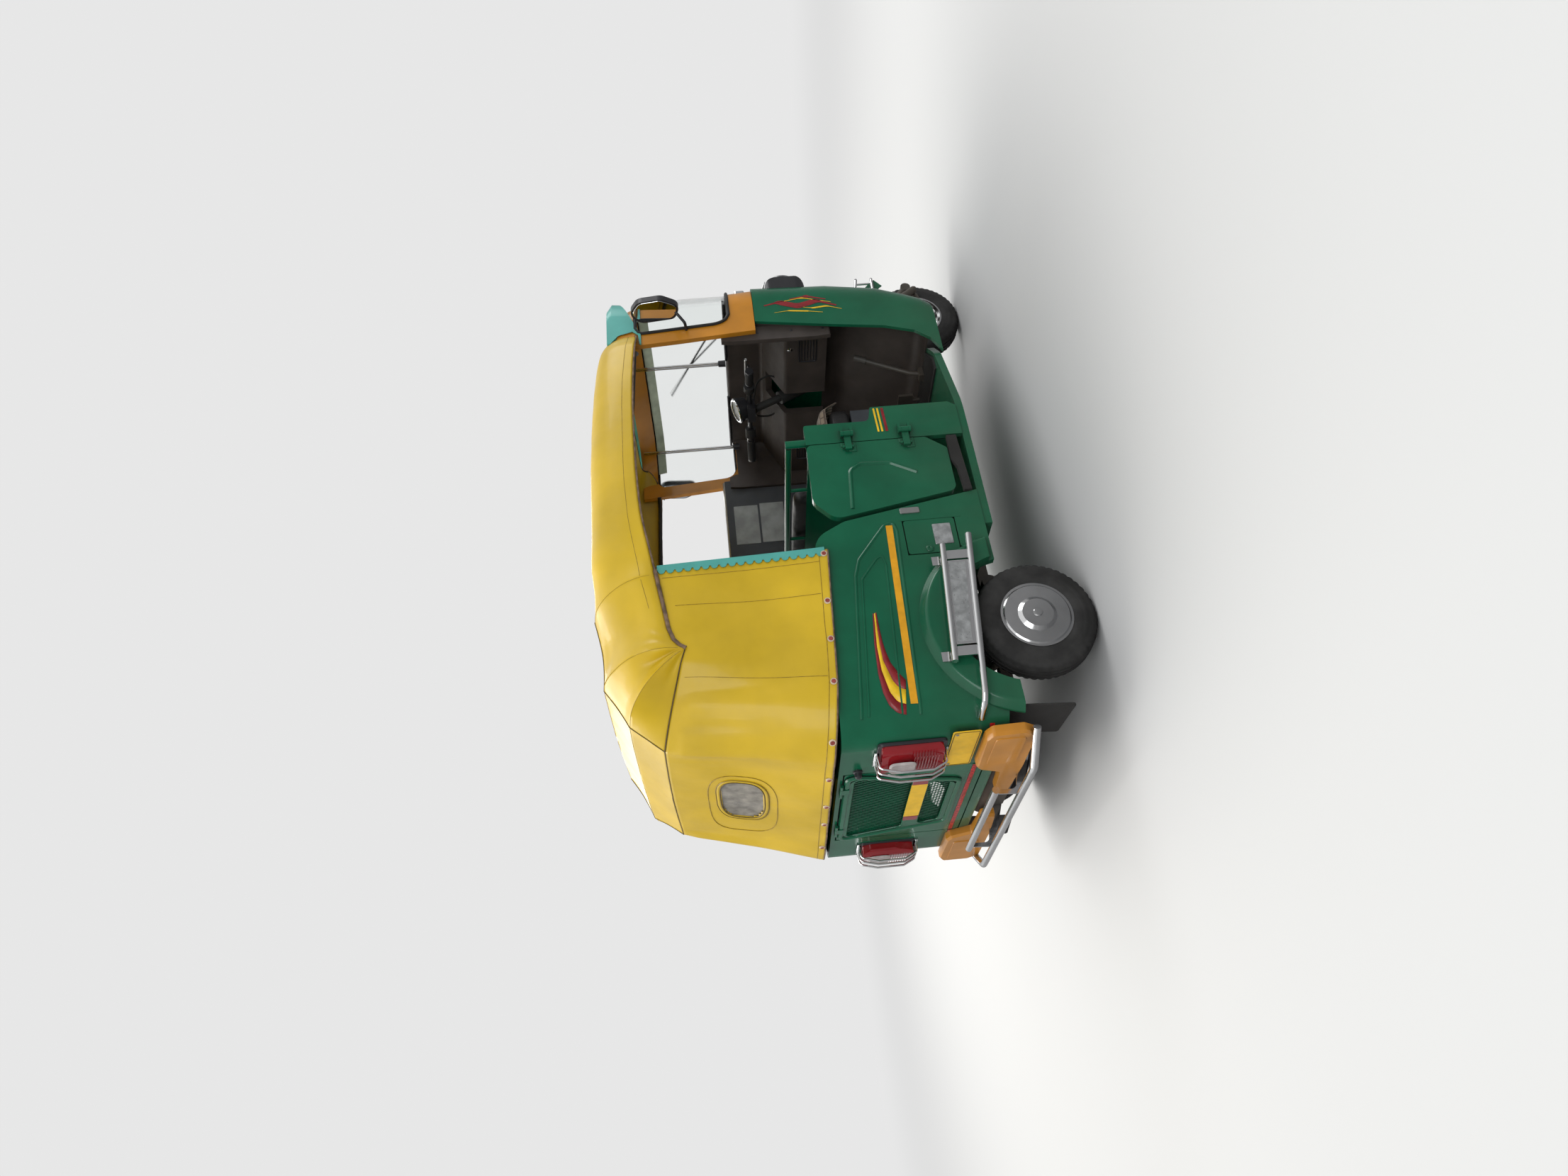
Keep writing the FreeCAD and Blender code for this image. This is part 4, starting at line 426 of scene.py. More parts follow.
# Body wall: a place round the tub by its distance from the front foot, and a height
HALF, BACK, TURN = 0.62, -1.255, 0.105
FOOT = -0.342
STRAIGHT, ARC = FOOT - (BACK + TURN), TURN * math.pi / 2


def wall_at(run, z, out=0.0, side=-1):
    """A point on the tub's outer wall; run grows rearwards and round the rear corner."""
    if run <= STRAIGHT:
        return V((FOOT - run, side * (HALF + out), z))
    if run <= STRAIGHT + ARC:
        turn, r = (run - STRAIGHT) / TURN, TURN + out
        return V((BACK + TURN - r * math.sin(turn), side * (HALF - TURN + r * math.cos(turn)), z))
    return V((BACK - out, side * (HALF - TURN - (run - STRAIGHT - ARC)), z))


def wall_lift(side):
    return lambda a, b, h: wall_at(a, b, h, side)


def rear_run(y):
    """Run of a place on the flat rear wall, going from the right corner to the left."""
    return STRAIGHT + ARC + HALF - TURN + y


def on_back(out=0.0):
    return lambda a, b, h: V((BACK - out - h, a, b))


def on_side(side=-1, half=HALF):
    return lambda a, b, h: V((a, side * (half + h), b))


def bead(points, bend, half_width, height, side):
    """A pressed ridge along a path of (x, z) on the wall."""
    path = rounded([(FOOT - x, z, 0) for x, z in points], bend, 8)
    dense = []
    for p, q in zip(path, path[1:] + path[-1:]):
        count = int((q - p).length / 0.02)
        dense += [p] + [p.lerp(q, k / (count + 1)) for k in range(1, count + 1)]
    line = [wall_at(p.x, p.y, 0.0, side) for p in dense]
    ups = [wall_at(p.x, p.y, 0.01, side) - at for p, at in zip(dense, line)]
    ring = [(-half_width, -0.0008), (-half_width * 0.55, height * 0.75), (0, height),
            (half_width * 0.55, height * 0.75), (half_width, -0.0008)]
    return sweep(line, ring, False, ups)


PRESSINGS = (
    ([(-1.19, 0.836), (-0.665, 0.782), (-0.6, 0.762), (-0.462, 0.652), (-0.455, 0.622),
      (-0.49, 0.612), (-1.19, 0.648)], 0.05, 0.006, 0.0035),
    ([(-1.185, 0.812), (-0.68, 0.762), (-0.6, 0.7), (-0.59, 0.68), (-0.63, 0.672),
      (-1.185, 0.706)], 0.03, 0.0045, 0.003),
    ([(-0.452, 0.6), (-0.452, 0.38)], 0.03, 0.002, 0.001),
)
for side, tag in SIDES:
    cluster("quarter_pressings_" + tag, "green", [bead(*row, side) for row in PRESSINGS])
    piece("amber_stripe_" + tag, *ribbon(
        [(FOOT - lerp(-1.155, -0.468, t), lerp(0.664, 0.637, t)) for t in steps(0, 1, 30)],
        0.0235, wall_lift(side), 0.0008), "stripe")

# Edges of the side decal's three bands
SWOOSH = (
    [(-1.188, 0.694), (-1.18, 0.722), (-1.154, 0.744), (-1.11, 0.756), (-1.041, 0.762),
     (-0.93, 0.758), (-0.816, 0.746)],
    [(-1.154, 0.69), (-1.145, 0.715), (-1.109, 0.734), (-1.029, 0.749), (-0.942, 0.751),
     (-0.88, 0.747), (-0.816, 0.742)],
    [(-1.104, 0.683), (-1.094, 0.705), (-1.067, 0.72), (-0.994, 0.739), (-0.93, 0.741),
     (-0.88, 0.74), (-0.815, 0.738)],
    [(-1.07, 0.678), (-1.041, 0.698), (-1.003, 0.717), (-0.96, 0.726), (-0.929, 0.73),
     (-0.88, 0.733), (-0.813, 0.734)],
)


def swoosh(first, second, mat, name, side):
    """A band of the side decal between two curves."""
    verts = []
    for line in (first, second):
        path = rounded([(FOOT - x, z, 0) for x, z in line], 0.03, 5)
        rows = [(r, p.x, p.y) for r, p in zip(reaches(path), path)]
        verts += [wall_at(*along(rows, rows[-1][0] * k / 60), 0.0012, side) for k in range(61)]
    solidify(piece(name, verts, [(k, k + 1, 62 + k, 61 + k) for k in range(60)], mat), 0.001, 0.0)


for side, tag in SIDES:
    for k, (mat, name) in enumerate((("decal_red", "outer"), ("decal_yellow", "middle"),
                                     ("decal_red", "inner"))):
        swoosh(SWOOSH[k], SWOOSH[k + 1], mat, f"swoosh_{name}_{tag}", side)

# Red tape, blank plates and small fittings on the rear
piece("lid_tape", *ribbon([(y, 0.442) for y in steps(-0.318, 0.322, 40)], 0.016, on_back(), 0.001),
      "tape", "engine_lid")
cluster("rear_tape", "tape", [
    ribbon([(rear_run(lerp(-0.332, -0.59, t)), lerp(low, low - 0.004, t)) for t in steps(0, 1, 20)],
           0.016, wall_lift(side), 0.001) for side, low in ((-1, 0.428), (1, 0.44))])

rim = rounded([(BACK - 0.0035, -0.595, 0.469), (BACK - 0.0035, -0.339, 0.469),
               (BACK - 0.0035, -0.339, 0.55), (BACK - 0.0035, -0.595, 0.55)], 0.008, 5, True)
piece("number_plate_rim", *sweep(rim, circle(0.0012, 6), True), "seam")
SCREW = ((0, 0.0055), (0.002, 0.0055), (0.0035, 0.003), (0.0038, 0))
cluster("plate_screws", "steel", [lathe(SCREW, (BACK - 0.0033, y, 0.541), "X", 16, -1)
                                  for y in (-0.352, -0.582)])
piece("lid_name_blank", *slab(round_rect(-0.196, 0.589, 0.112, 0.645, 0.003), on_back(0.0062), 0.002),
      "plate", "engine_lid")
cluster("lid_reflectors", "red", [
    slab(round_rect(low, 0.59, high, 0.644, 0.003), on_back(0.0062), 0.0025)
    for low, high in ((-0.236, -0.197), (0.113, 0.152))], "engine_lid")
KNOB = ((0, 0.016), (0.006, 0.016), (0.009, 0.013), (0.022, 0.012), (0.026, 0.008), (0.027, 0))
piece("lid_latch", *lathe(KNOB, (BACK, -0.352, 0.842), "X", 24, -1), "black")

# Mesh in the rear lid's openings, finer than the solid grille
GRILLE = ((0.505, 0.587), (0.641, 0.85))
MESH_PITCH, MESH_SLANT = 0.016, 0.75
WIRE = ((-0.0015, -0.001), (0.0015, -0.001), (0.0015, 0.001), (-0.0015, 0.001))


def grille_half(z):
    return 0.19 + (z - 0.505) / 0.345 * 0.102


def lid_wires():
    """The diagonal wires, each cut to its opening."""
    for (low, high), sign in product(GRILLE, (-1, 1)):
        reach = grille_half(high) + high - low
        start = -reach
        while start < reach:
            line = [(start + sign * (z - low) * MESH_SLANT, z) for z in steps(low, high, 40)]
            line = [p for p in line if abs(p[0]) <= grille_half(p[1])]
            if line and line[-1][1] - line[0][1] > 0.008:
                yield sweep([V((BACK + 0.006 + 0.001 * sign, *p)) for p in (line[0], line[-1])],
                            WIRE, False, V((1, 0, 0)))
            start += MESH_PITCH


stand_for(cluster("lid_mesh", "green", lid_wires(), "engine_lid", False), "engine_grille")


def lid_loop(out, low, low_half, high, high_half, bend, count):
    return rounded([(BACK - out, -low_half, low), (BACK - out, low_half, low),
                    (BACK - out, high_half, high), (BACK - out, -high_half, high)], bend, count, True)


raised = lid_loop(0.006, 0.478, 0.205, 0.872, 0.313, 0.035, 8)
cluster("mesh_borders", "green", [
    *[sweep(lid_loop(0.001, low, grille_half(low), high, grille_half(high), 0.026, 6),
            circle(0.0035, 8), True) for low, high in GRILLE],
    sweep(raised, [(-0.011, -0.002), (-0.007, 0.0035), (0, 0.0052), (0.007, 0.0035), (0.011, -0.002)],
          True, V((-1, 0, 0)))], "engine_lid")

# Tail lamps: clear inner lens, dark foot and the fluting of the red one
for side, tag in SIDES:
    for name, mat, box, out, depth, edge in (
            ("reverse_lens_", "clear", (-0.505, 0.668, -0.425, 0.755, 0.026), 0.0462, 0.007, 0.005),
            ("tail_lamp_base_", "black", (-0.555, 0.566, -0.392, 0.79, 0.018), -0.004, 0.01, 0.0015)):
        shape = [(a * -side, b) for a, b in round_rect(*box)]
        piece(name + tag, *slab(shape, on_back(out), depth, edge), mat)
    cluster("tail_lamp_flutes_" + tag, "red", [
        sweep([V((BACK - 0.0445, side * y, 0.6 + k * 0.0095)) for y in (0.432, 0.536)],
              circle(0.0016, 6)) for k in range(9)])


def both_sides(shape, bend, lift, depth, edge):
    """A slab and its mirror image across the middle."""
    for side in (-1, 1):
        yield slab([(side * a, b) for a, b in outline(shape, bend)], lift, depth, edge)


# Mudflaps: rubber sheets that curl back towards their lower edge
FLAP = ((0.4, 0.36), (0.4, 0.166), (0.6137, 0.151), (0.6137, 0.36))
stand_for(cluster("mudflap_sheets", "rubber", both_sides(
    FLAP, 0.014, lambda a, b, h: V((-1.1862 - 0.014 * ((0.36 - b) / 0.21) ** 2 - h, a, b)),
    0.005, 0.001)), "mudflaps")

# Bumper pads: a crowned block with a lower flange towards the middle
PAD = ((0.125, 0.302), (0.125, 0.352), (0.3, 0.362), (0.338, 0.44), (0.37, 0.454),
       (0.585, 0.454), (0.622, 0.436), (0.626, 0.335), (0.59, 0.292), (0.335, 0.286))
BOSS = ((0.385, 0.325), (0.385, 0.425), (0.59, 0.425), (0.59, 0.325))
stand_for(cluster("bumper_pad_covers", "orange", [
    *both_sides(PAD, 0.016, on_back(0.0003), 0.033, 0.009),
    *both_sides(BOSS, 0.02, on_back(0.0325), 0.004, 0.003)]), "bumper_pads")

# Fittings on the right side
LOCK = ((0, 0.013), (0.003, 0.013), (0.005, 0.01), (0.005, 0.006), (0.003, 0.004), (0.003, 0))
piece("fuel_lock", *lathe(LOCK, (-0.578, -HALF, 0.511), "Y", 28, -1), "green", "fuel_lid")
piece("fuel_lid_plate", *slab(round_rect(-0.563, 0.424, -0.478, 0.488, 0.004), on_side(), 0.003),
      "grey_plate", "fuel_lid")
piece("door_catch", *slab(round_rect(-0.424, 0.52, -0.4, 0.59, 0.006), on_side(), 0.004), "steel")


# Tyres and wheel covers
def tyre(name, at, body, node):
    """Tread blocks, shoulder notches and sidewall rings on a rounded carcass."""
    top = 0.2045
    section = [(-0.042, 0.113), (-0.047, 0.121), (-0.0515, 0.135), (-0.053, 0.15),
               (-0.0526, 0.152), (-0.053, 0.154), (-0.0525, 0.168), (-0.0515, 0.17),
               (-0.051, 0.18), (-0.0485, 0.19), (-0.044, 0.1965), (-0.04, 0.199),
               (-0.03, 0.2015)]
    grooves = []
    for y, wide in ((-0.021, 0.0035), (0.0, 0.004), (0.021, 0.0035)):
        r = top - 0.0012 if y else top
        grooves += [(y - wide, r), (y - wide + 0.0012, r - 0.0055), (y + wide - 0.0012, r - 0.0055),
                    (y + wide, r)]
    section += grooves + [(-y, r) for y, r in section[::-1]]
    verts, faces = lathe(section, at, "Y", 144)
    for index, v in enumerate(verts):
        k, i = divmod(index, len(section))
        y, r = section[i]
        if k % 3 == 0 and r > 0.186 and abs(y) > 0.029:
            d = V((v.x - at[0], 0, v.z - at[2])).normalized()
            verts[index] = v - d * 0.0035 * (1 if abs(y) < 0.047 else 0.6)
    stand_for(piece(name, verts, faces, "tyre", body), node)


# Radius and height of the cover's rings
COVER = ((0.0, 0.066), (0.01, 0.0665), (0.0135, 0.066), (0.016, 0.0615), (0.0195, 0.059),
         (0.024, 0.058), (0.03, 0.0565), (0.033, 0.052), (0.0365, 0.051), (0.04, 0.052),
         (0.044, 0.056), (0.0475, 0.0555), (0.052, 0.0545), (0.06, 0.0535), (0.07, 0.053),
         (0.08, 0.0528), (0.088, 0.0525), (0.096, 0.0515), (0.101, 0.049), (0.1045, 0.05),
         (0.108, 0.049), (0.112, 0.044))
SPOKES, PRESS, PRESS_IN, PRESS_OUT = 5, 0.0065, 0.05, 0.099


def wheel_cover(name, at, face, body):
    """Chrome cover pressed with broad spokes round a stepped centre."""
    sides = 120
    verts, faces = lathe([(h, r) for r, h in COVER], at, "Y", sides, face)
    for index, v in enumerate(verts):
        k, i = divmod(index, len(COVER))
        r = COVER[i][0]
        if PRESS_IN < r < PRESS_OUT:
            wide = abs((k / sides * SPOKES) % 1 - 0.5) * 2
            edge = smooth_step((r - PRESS_IN) / 0.006) * smooth_step((PRESS_OUT - r) / 0.006)
            v.y -= face * PRESS * smooth_step((wide - 0.22) / 0.16) * edge
    piece(name, verts, faces, "hub", body)


for name, at, face, body in (("rear_right", (-0.875, -0.575, 0.205), -1, "rear_wheel_right"),
                             ("rear_left", (-0.875, 0.575, 0.205), 1, "rear_wheel_left"),
                             ("front", (1.125, 0, 0.205), 1, "front_wheel")):
    tyre(name + "_treaded_tyre", at, body, name + "_tyre")
    wheel_cover(name + "_wheel_cover", at, face, body)


# Hood cloth
PIVOT = V((-0.874, 0, 1.371))
LEG = 28
# Each bow: foot (x, z), corner (x, z), then the leg's half width by its share of the way up
BOWS = (
    ((-0.874, 1.371), (-1.143, 1.468), ((0, 0.604), (0.1, 0.603), (0.2, 0.596), (0.32, 0.572),
                                        (0.58, 0.52), (0.81, 0.465), (1, 0.404))),
    ((-0.874, 1.371), (-1.056, 1.578), ((0, 0.604), (0.15, 0.623), (0.36, 0.629), (0.58, 0.616),
                                        (0.78, 0.577), (0.93, 0.512), (1, 0.43))),
    ((-0.874, 1.371), (-0.895, 1.664), ((0, 0.606), (0.21, 0.63), (0.4, 0.627), (0.64, 0.592),
                                        (0.86, 0.515), (0.97, 0.445), (1, 0.392))),
    ((-0.586, 1.456), (-0.628, 1.689), ((0, 0.614), (0.13, 0.625), (0.34, 0.62), (0.55, 0.597),
                                        (0.78, 0.545), (0.94, 0.477), (1, 0.405))),
)
ROOF = (
    # along, side half width, side edge height, corner half width, corner height, crown height
    (-0.48, 0.617, 1.473, 0.44, 1.69, 1.702),
    (-0.33, 0.616, 1.496, 0.44, 1.688, 1.7035),
    (-0.16, 0.615, 1.507, 0.445, 1.688, 1.7045),
    (0.02, 0.612, 1.511, 0.45, 1.686, 1.7045),
    (0.2, 0.604, 1.512, 0.45, 1.68, 1.701),
    (0.38, 0.59, 1.507, 0.45, 1.67, 1.694),
    (0.53, 0.57, 1.499, 0.44, 1.656, 1.683),
    (0.605, 0.541, 1.494, 0.425, 1.638, 1.666),
    (0.66, 0.505, 1.502, 0.415, 1.604, 1.628),
    (0.7, 0.478, 1.522, 0.405, 1.584, 1.59),
    (0.72, 0.462, 1.542, 0.4, 1.577, 1.579),
)
# Lower edge of the cloth from the pivot forwards
EDGE = ((-0.874, 1.371), (-0.863, 1.388), (-0.84, 1.409), (-0.795, 1.424), (-0.752, 1.43),
        (-0.662, 1.444), (-0.586, 1.456), (-0.48, 1.473), (-0.33, 1.496))


def catmull(a, b, c, d, t):
    return (b * 2 + (c - a) * t + (a * 2 - b * 5 + c * 4 - d) * t * t
            + (b * 3 - a - c * 3 + d) * t ** 3) * 0.5


def even(points, count):
    """Places at even distances along a smooth line through points."""
    points = [V(p) for p in points]
    ends = [points[0] * 2 - points[1]] + points + [points[-1] * 2 - points[-2]]
    dense = [catmull(*ends[k:k + 4], q / 8) for k in range(len(points) - 1) for q in range(8)]
    dense.append(points[-1])
    reach = reaches(dense)
    out, k = [], 0
    for want in steps(0, reach[-1], count):
        while k < len(dense) - 2 and reach[k + 1] < want:
            k += 1
        out.append(dense[k].lerp(dense[k + 1], (want - reach[k]) / (reach[k + 1] - reach[k])))
    return out


def over_crown(x, half, z, rise):
    """From the corner to the middle of the crown."""
    return [V((x, -half * (1 - t), z + rise * math.sin(t * math.pi / 2))) for t in steps(0, 1, LEG)[1:]]


def bow_key(foot, corner, leg):
    up = [(lerp(foot[0], corner[0], q), -half, lerp(foot[1], corner[1], q)) for q, half in leg]
    return even(up, LEG) + over_crown(corner[0], leg[-1][1], corner[1], 0.008)


def roof_key(x, side, side_z, corner, corner_z, crown):
    leg = [(x, -(corner + (side - corner) * math.cos(a) ** 0.66),
            lerp(side_z, corner_z, math.sin(a) ** 0.74)) for a in steps(0, math.pi / 2, 12)]
    return even(leg, LEG) + over_crown(x, corner, corner_z, crown - corner_z)


KEYS = [bow_key(*bow) for bow in BOWS] + [roof_key(*row) for row in ROOF]
SPANS = len(KEYS) - 1
# Sag of the cloth between two bows, down the side and over the crown
SAGS = ((0.01, 0.006), (0.03, 0.01), (0.04, 0.014), (0.006, 0.004))


def hood_point(w, t):
    """Hood cloth: w from the rear bow (0) to the front hem (1), t from the right edge to the crown."""
    k = min(int(w * SPANS + 1e-9), SPANS - 1)
    f = w * SPANS - k
    i = min(int(t * 2 * LEG), 2 * LEG - 1)
    rows = [KEYS[max(0, min(n, SPANS))] for n in range(k - 1, k + 3)]
    a, b, c, d = (row[i].lerp(row[i + 1], t * 2 * LEG - i) for row in rows)
    if k < 3:
        p = b.lerp(c, f)
    else:
        p = catmull(b * 2 - c if k == 3 else a, b, c, c * 2 - b if k == SPANS - 1 else d, f)
    if k == 2 and t < 0.5:
        x, straight = lerp(-0.874, -0.586, f), lerp(1.371, 1.456, f)
        p.z += (along(EDGE, x)[0] - straight) * (1 - t / 0.5) ** 3
    if k < len(SAGS):
        side, crown = SAGS[k]
        over = smooth_step((t - 0.38) / 0.14)
        depth = math.sin(math.pi * f) * (side * smooth_step(t / 0.17) * (1 - over) + crown * over)
        p = p + (V((p.x, 0, 1.36)) - p).normalized() * depth
    ripple = noise.noise(p * 5) * 0.0022
    fine = noise.noise(V((p.x * 17, p.y * 17 + 4, p.z * 17))) * 0.001
    reach = (p - V((PIVOT.x, -0.603, PIVOT.z))).length
    fold = (math.sin(math.atan2(p.z - PIVOT.z, p.x - PIVOT.x) * 19) * 0.005
            * math.exp(-((reach - 0.07) / 0.06) ** 2))
    edge = min(1, t * 10) * min(1, w * 24) * min(1, (1 - w) * 14)
    return p + V((0, -fold, ripple + fine)) * edge


def hood_surface(w, v):
    """The whole hood: v from the right edge over the crown to the left edge."""
    if v <= 0.5:
        return hood_point(w, v * 2)
    p = hood_point(w, (1 - v) * 2)
    other = noise.noise(V((p.x * 5, p.y * 5 + 31, p.z * 5))) * 0.002
    return V((p.x, -p.y, p.z + other * min(1, (1 - v) * 10)))


# Places of the cloth's columns, closer together between the bows
COLUMNS = [0.0]
for span in range(SPANS):
    n = (16, 18, 26)[span] if span < 3 else 10
    COLUMNS += [(span + q / n) / SPANS for q in range(1, n + 1)]
NU = len(COLUMNS) - 1


def cloth(name, shape, thickness, offset, node):
    obj = piece(name, *shape, "hood")
    obj.data.set_sharp_from_angle(angle=math.radians(60))
    return stand_for(solidify(obj, thickness, offset), node)


hood = cloth("hood_cloth", grid(lambda u, v: hood_surface(COLUMNS[round(u * NU)], v), NU, 4 * LEG),
             0.0035, -1.0, "roof_canopy")


def cord(name, line, radius, mat="seam", sides=8, closed=False):
    return piece(name, *sweep(line, circle(radius, sides), closed), mat)


def hood_line(name, path, radius, mat="seam", flat=1.0, lift=0.0):
    """A cord or seam along the cloth through (w, t) places, on both sides."""
    pts = [hood_point(w, t) for w, t in path]
    cluster(name, mat, [sweep([V((p.x, p.y * mirror, p.z + lift)) for p in pts],
                              circle(radius, 8, flat)) for mirror in (1, -1)])


BOW_W = [k / SPANS for k in range(len(BOWS))]
hood_line("hood_corner_seams", [(w, 0.5) for w in steps(0, BOW_W[3], 60)], 0.0017, lift=0.0008)
hood_line("hood_rear_seams", [(0, t) for t in steps(0.0, 0.5, 30)], 0.0027)
cord("hood_rear_hem", [hood_surface(0, v) for v in steps(0.25, 0.75, 60)], 0.0025)
hood_line("hood_hem_stitch", [(w, 0.075) for w in steps(BOW_W[3] - 0.03, 0.985, 90)], 0.0011,
          "stitch", 0.6)
for k, name in ((1, "middle"), (2, "upper"), (3, "front")):
    hood_line("bow_stitch_" + name, [(BOW_W[k], t) for t in steps(0.03, 0.97, 60)], 0.001,
              "stitch", 0.5)
cord("hood_front_piping", [hood_surface(1, v) for v in steps(0, 1, 90)], 0.0048)


def roll_place(w, mirror):
    p = hood_point(w, 0.0)
    return V((p.x, p.y * mirror * 1.003, p.z - 0.002 + 0.0014 * noise.noise(V((p.x * 60, 0, 0)))))


# Weathered roll along the cloth's edge from the pivot forwards, thinner past the curtain
cluster("hood_edge_roll", "hem", [
    sweep([roll_place(w, mirror) for w in steps(first, last, 90)], circle(radius, 8))
    for mirror in (1, -1) for first, last, radius in (
        (BOW_W[2], BOW_W[3] + 0.012, 0.0068), (BOW_W[3] + 0.01, 1.0, 0.0036))])

# Curtain
CURTAIN_LOW = ((-1.272, 0.926), (-1.2, 0.914), (-1.065, 0.896), (-0.823, 0.881), (-0.552, 0.864))
FRONT_LOW, BACK_LOW, HALF_LOW, TURN_LOW = -0.556, -1.2665, 0.631, 0.16
STRAIGHT_LOW, ARC_LOW = FRONT_LOW - BACK_LOW - TURN_LOW, TURN_LOW * math.pi / 2
RUN_LOW = STRAIGHT_LOW + ARC_LOW + HALF_LOW - TURN_LOW


def mirrored_half(half_plan):
    """A plan of one side carried round to the other."""
    def plan(run):
        p = half_plan(min(run, 1 - run))
        return V((p.x, -p.y, p.z)) if run > 0.5 else p
    return plan


@mirrored_half
def low_plan(run):
    """A place round the curtain's foot: run from the right front edge (0) to the left (1)."""
    d = run * 2 * RUN_LOW
    if d <= STRAIGHT_LOW:
        p = V((FRONT_LOW - d, -HALF_LOW, 0))
    elif d <= STRAIGHT_LOW + ARC_LOW:
        a = (d - STRAIGHT_LOW) / TURN_LOW
        p = V((BACK_LOW + TURN_LOW - TURN_LOW * math.sin(a),
               -(HALF_LOW - TURN_LOW + TURN_LOW * math.cos(a)), 0))
    else:
        p = V((BACK_LOW, d - RUN_LOW, 0))
    p.z = along(CURTAIN_LOW, p.x)[0]
    return p


@mirrored_half
def high_plan(run):
    """The curtain's head, just inside the hood's edge."""
    if run <= 0.14:
        x = lerp(FRONT_LOW, PIVOT.x, run / 0.14)
        return V((x, -0.604, along(EDGE, x)[0] - 0.002))
    place = (run - 0.14) / 0.175 * LEG if run <= 0.315 else LEG + (run - 0.315) / 0.185 * LEG
    i = min(int(place), 2 * LEG - 1)
    p = KEYS[0][i].lerp(KEYS[0][i + 1], place - i)
    return V((p.x * 0.999, p.y * 0.997, p.z - 0.002))


def curtain_out(u):
    """The way the curtain faces, level."""
    turn = smooth_step((min(u, 1 - u) - 0.19) / 0.15) * math.pi / 2
    return V((-math.sin(turn), math.cos(turn) * (-1 if u < 0.5 else 1), 0))


# Creases that hang from the head: place, width, depth and how far down they start
CREASES = ((0.205, 0.01, -0.006, 0.2), (0.232, 0.009, 0.005, 0.1), (0.262, 0.008, -0.005, 0.25),
           (0.3, 0.012, 0.004, 0.1), (0.11, 0.014, -0.003, 0.45), (0.335, 0.01, -0.0035, 0.3))


def curtain_point(u, v):
    p = low_plan(u).lerp(high_plan(u), v)
    half = min(u, 1 - u)
    corner = math.exp(-((half - 0.265) / 0.055) ** 2)
    shape = -0.011 * math.sin(math.pi * min(1, v * 1.05)) ** 2
    shape += 0.016 * corner * math.sin(math.pi * v) ** 0.8
    for at, wide, depth, low_v in CREASES:
        place = at + 0.012 * (v - 0.5)
        shape += depth * math.exp(-((half - place) / wide) ** 2) * smooth_step((v - low_v) / 0.5)
    shape += 0.0024 * math.sin(half * 60 + v * 3) * math.sin(math.pi * v)
    shape += noise.noise(V((p.x * 4.2, p.y * 4.2, p.z * 4.2 + 9))) * 0.0035
    amount = min(1, (1 - v) * 10) * min(1, half * 30)
    foot = 0.004 * math.exp(-v * 14) + 0.0022 * math.sin(u * 2 * math.pi * 14) * math.exp(-v * 16)
    return p + curtain_out(u) * (shape * amount + foot)


# Window: its middle and half sizes, across and up, and how square its corners are
WIN_Y, WIN_Z, WIN_HALF_Y, WIN_HALF_Z, SQUARE = -0.0275, 1.227, 0.1775, 0.082, 3.2


def curtain_cloth():
    """The curtain's grid with the window left out of the back."""
    verts, faces = grid(curtain_point, 200, 60)

    def inside(p):
        return p.x < -1.1 and (abs(p.y - WIN_Y) / WIN_HALF_Y) ** SQUARE \
            + (abs(p.z - WIN_Z) / WIN_HALF_Z) ** SQUARE < 1
    keep = [f for f in faces if not all(inside(verts[i]) for i in f)]
    used = sorted({i for f in keep for i in f})
    index = {old: new for new, old in enumerate(used)}
    return [verts[i] for i in used], [tuple(index[i] for i in f) for f in keep]


curtain = cloth("curtain_cloth", curtain_cloth(), 0.003, 1.0, "rear_curtain")


def back_x(y, z):
    """Outer x of the curtain's back at a place on it."""
    v = (z - 0.926) / (1.476 - 0.926)
    return curtain_point(0.5 + y / lerp(2 * RUN_LOW, 0.808 / 0.37, v), v).x - 0.003


def window_ring(grow_y, grow_z, out, n=72, shift=0.0):
    """A loop round the window on the cloth, grown and moved sideways."""
    ring = []
    for a in turns(n):
        c, s = math.cos(a), math.sin(a)
        y = WIN_Y + shift + (WIN_HALF_Y + grow_y) * math.copysign(abs(c) ** (2 / SQUARE), c)
        z = WIN_Z + (WIN_HALF_Z + grow_z) * math.copysign(abs(s) ** (2 / SQUARE), s)
        ring.append(V((back_x(y, z) - out, y, z)))
    return ring


n = 72
solidify(piece("window_surround", window_ring(-0.006, -0.006, 0.0012) + window_ring(0.012, 0.012, 0.0012),
               [(k, (k + 1) % n, n + (k + 1) % n, n + k) for k in range(n)], "hood"), 0.002, 0.0)
cord("window_edge", window_ring(-0.004, -0.004, 0.002, 96), 0.0022, "seam", 6, True)
cord("window_stitch", window_ring(0.011, 0.011, 0.0022, 96), 0.0011, "seam", 6, True)
cord("window_patch_stitch", window_ring(0.092, 0.04, 0.0003, 96, 0.05), 0.0014, "stitch", 6, True)


def window_pane(u, v):
    y = WIN_Y + (WIN_HALF_Y + 0.003) * (2 * u - 1)
    z = WIN_Z + (WIN_HALF_Z + 0.003) * (2 * v - 1)
    return V((back_x(y, z) + 0.0035 + 0.0022 * math.sin(u * 9 + v * 2), y, z))


pane = piece("window_film_pane", *grid(window_pane, 30, 16), "film")
stand_for(solidify(pane, 0.0012, 0.0), "rear_window")

# Curtain edges: seams, hem line, teal scallops and studs
cluster("curtain_side_hems", "seam", [sweep([curtain_point(u, v) for v in steps(0.0, 1.0, 40)],
                                            circle(0.0022, 8)) for u in (0.003, 0.997)])
cord("curtain_hem_cord", [curtain_point(u, 0.0) + V((0, 0, 0.001)) for u in steps(0, 1, 200)], 0.0034, "hem")


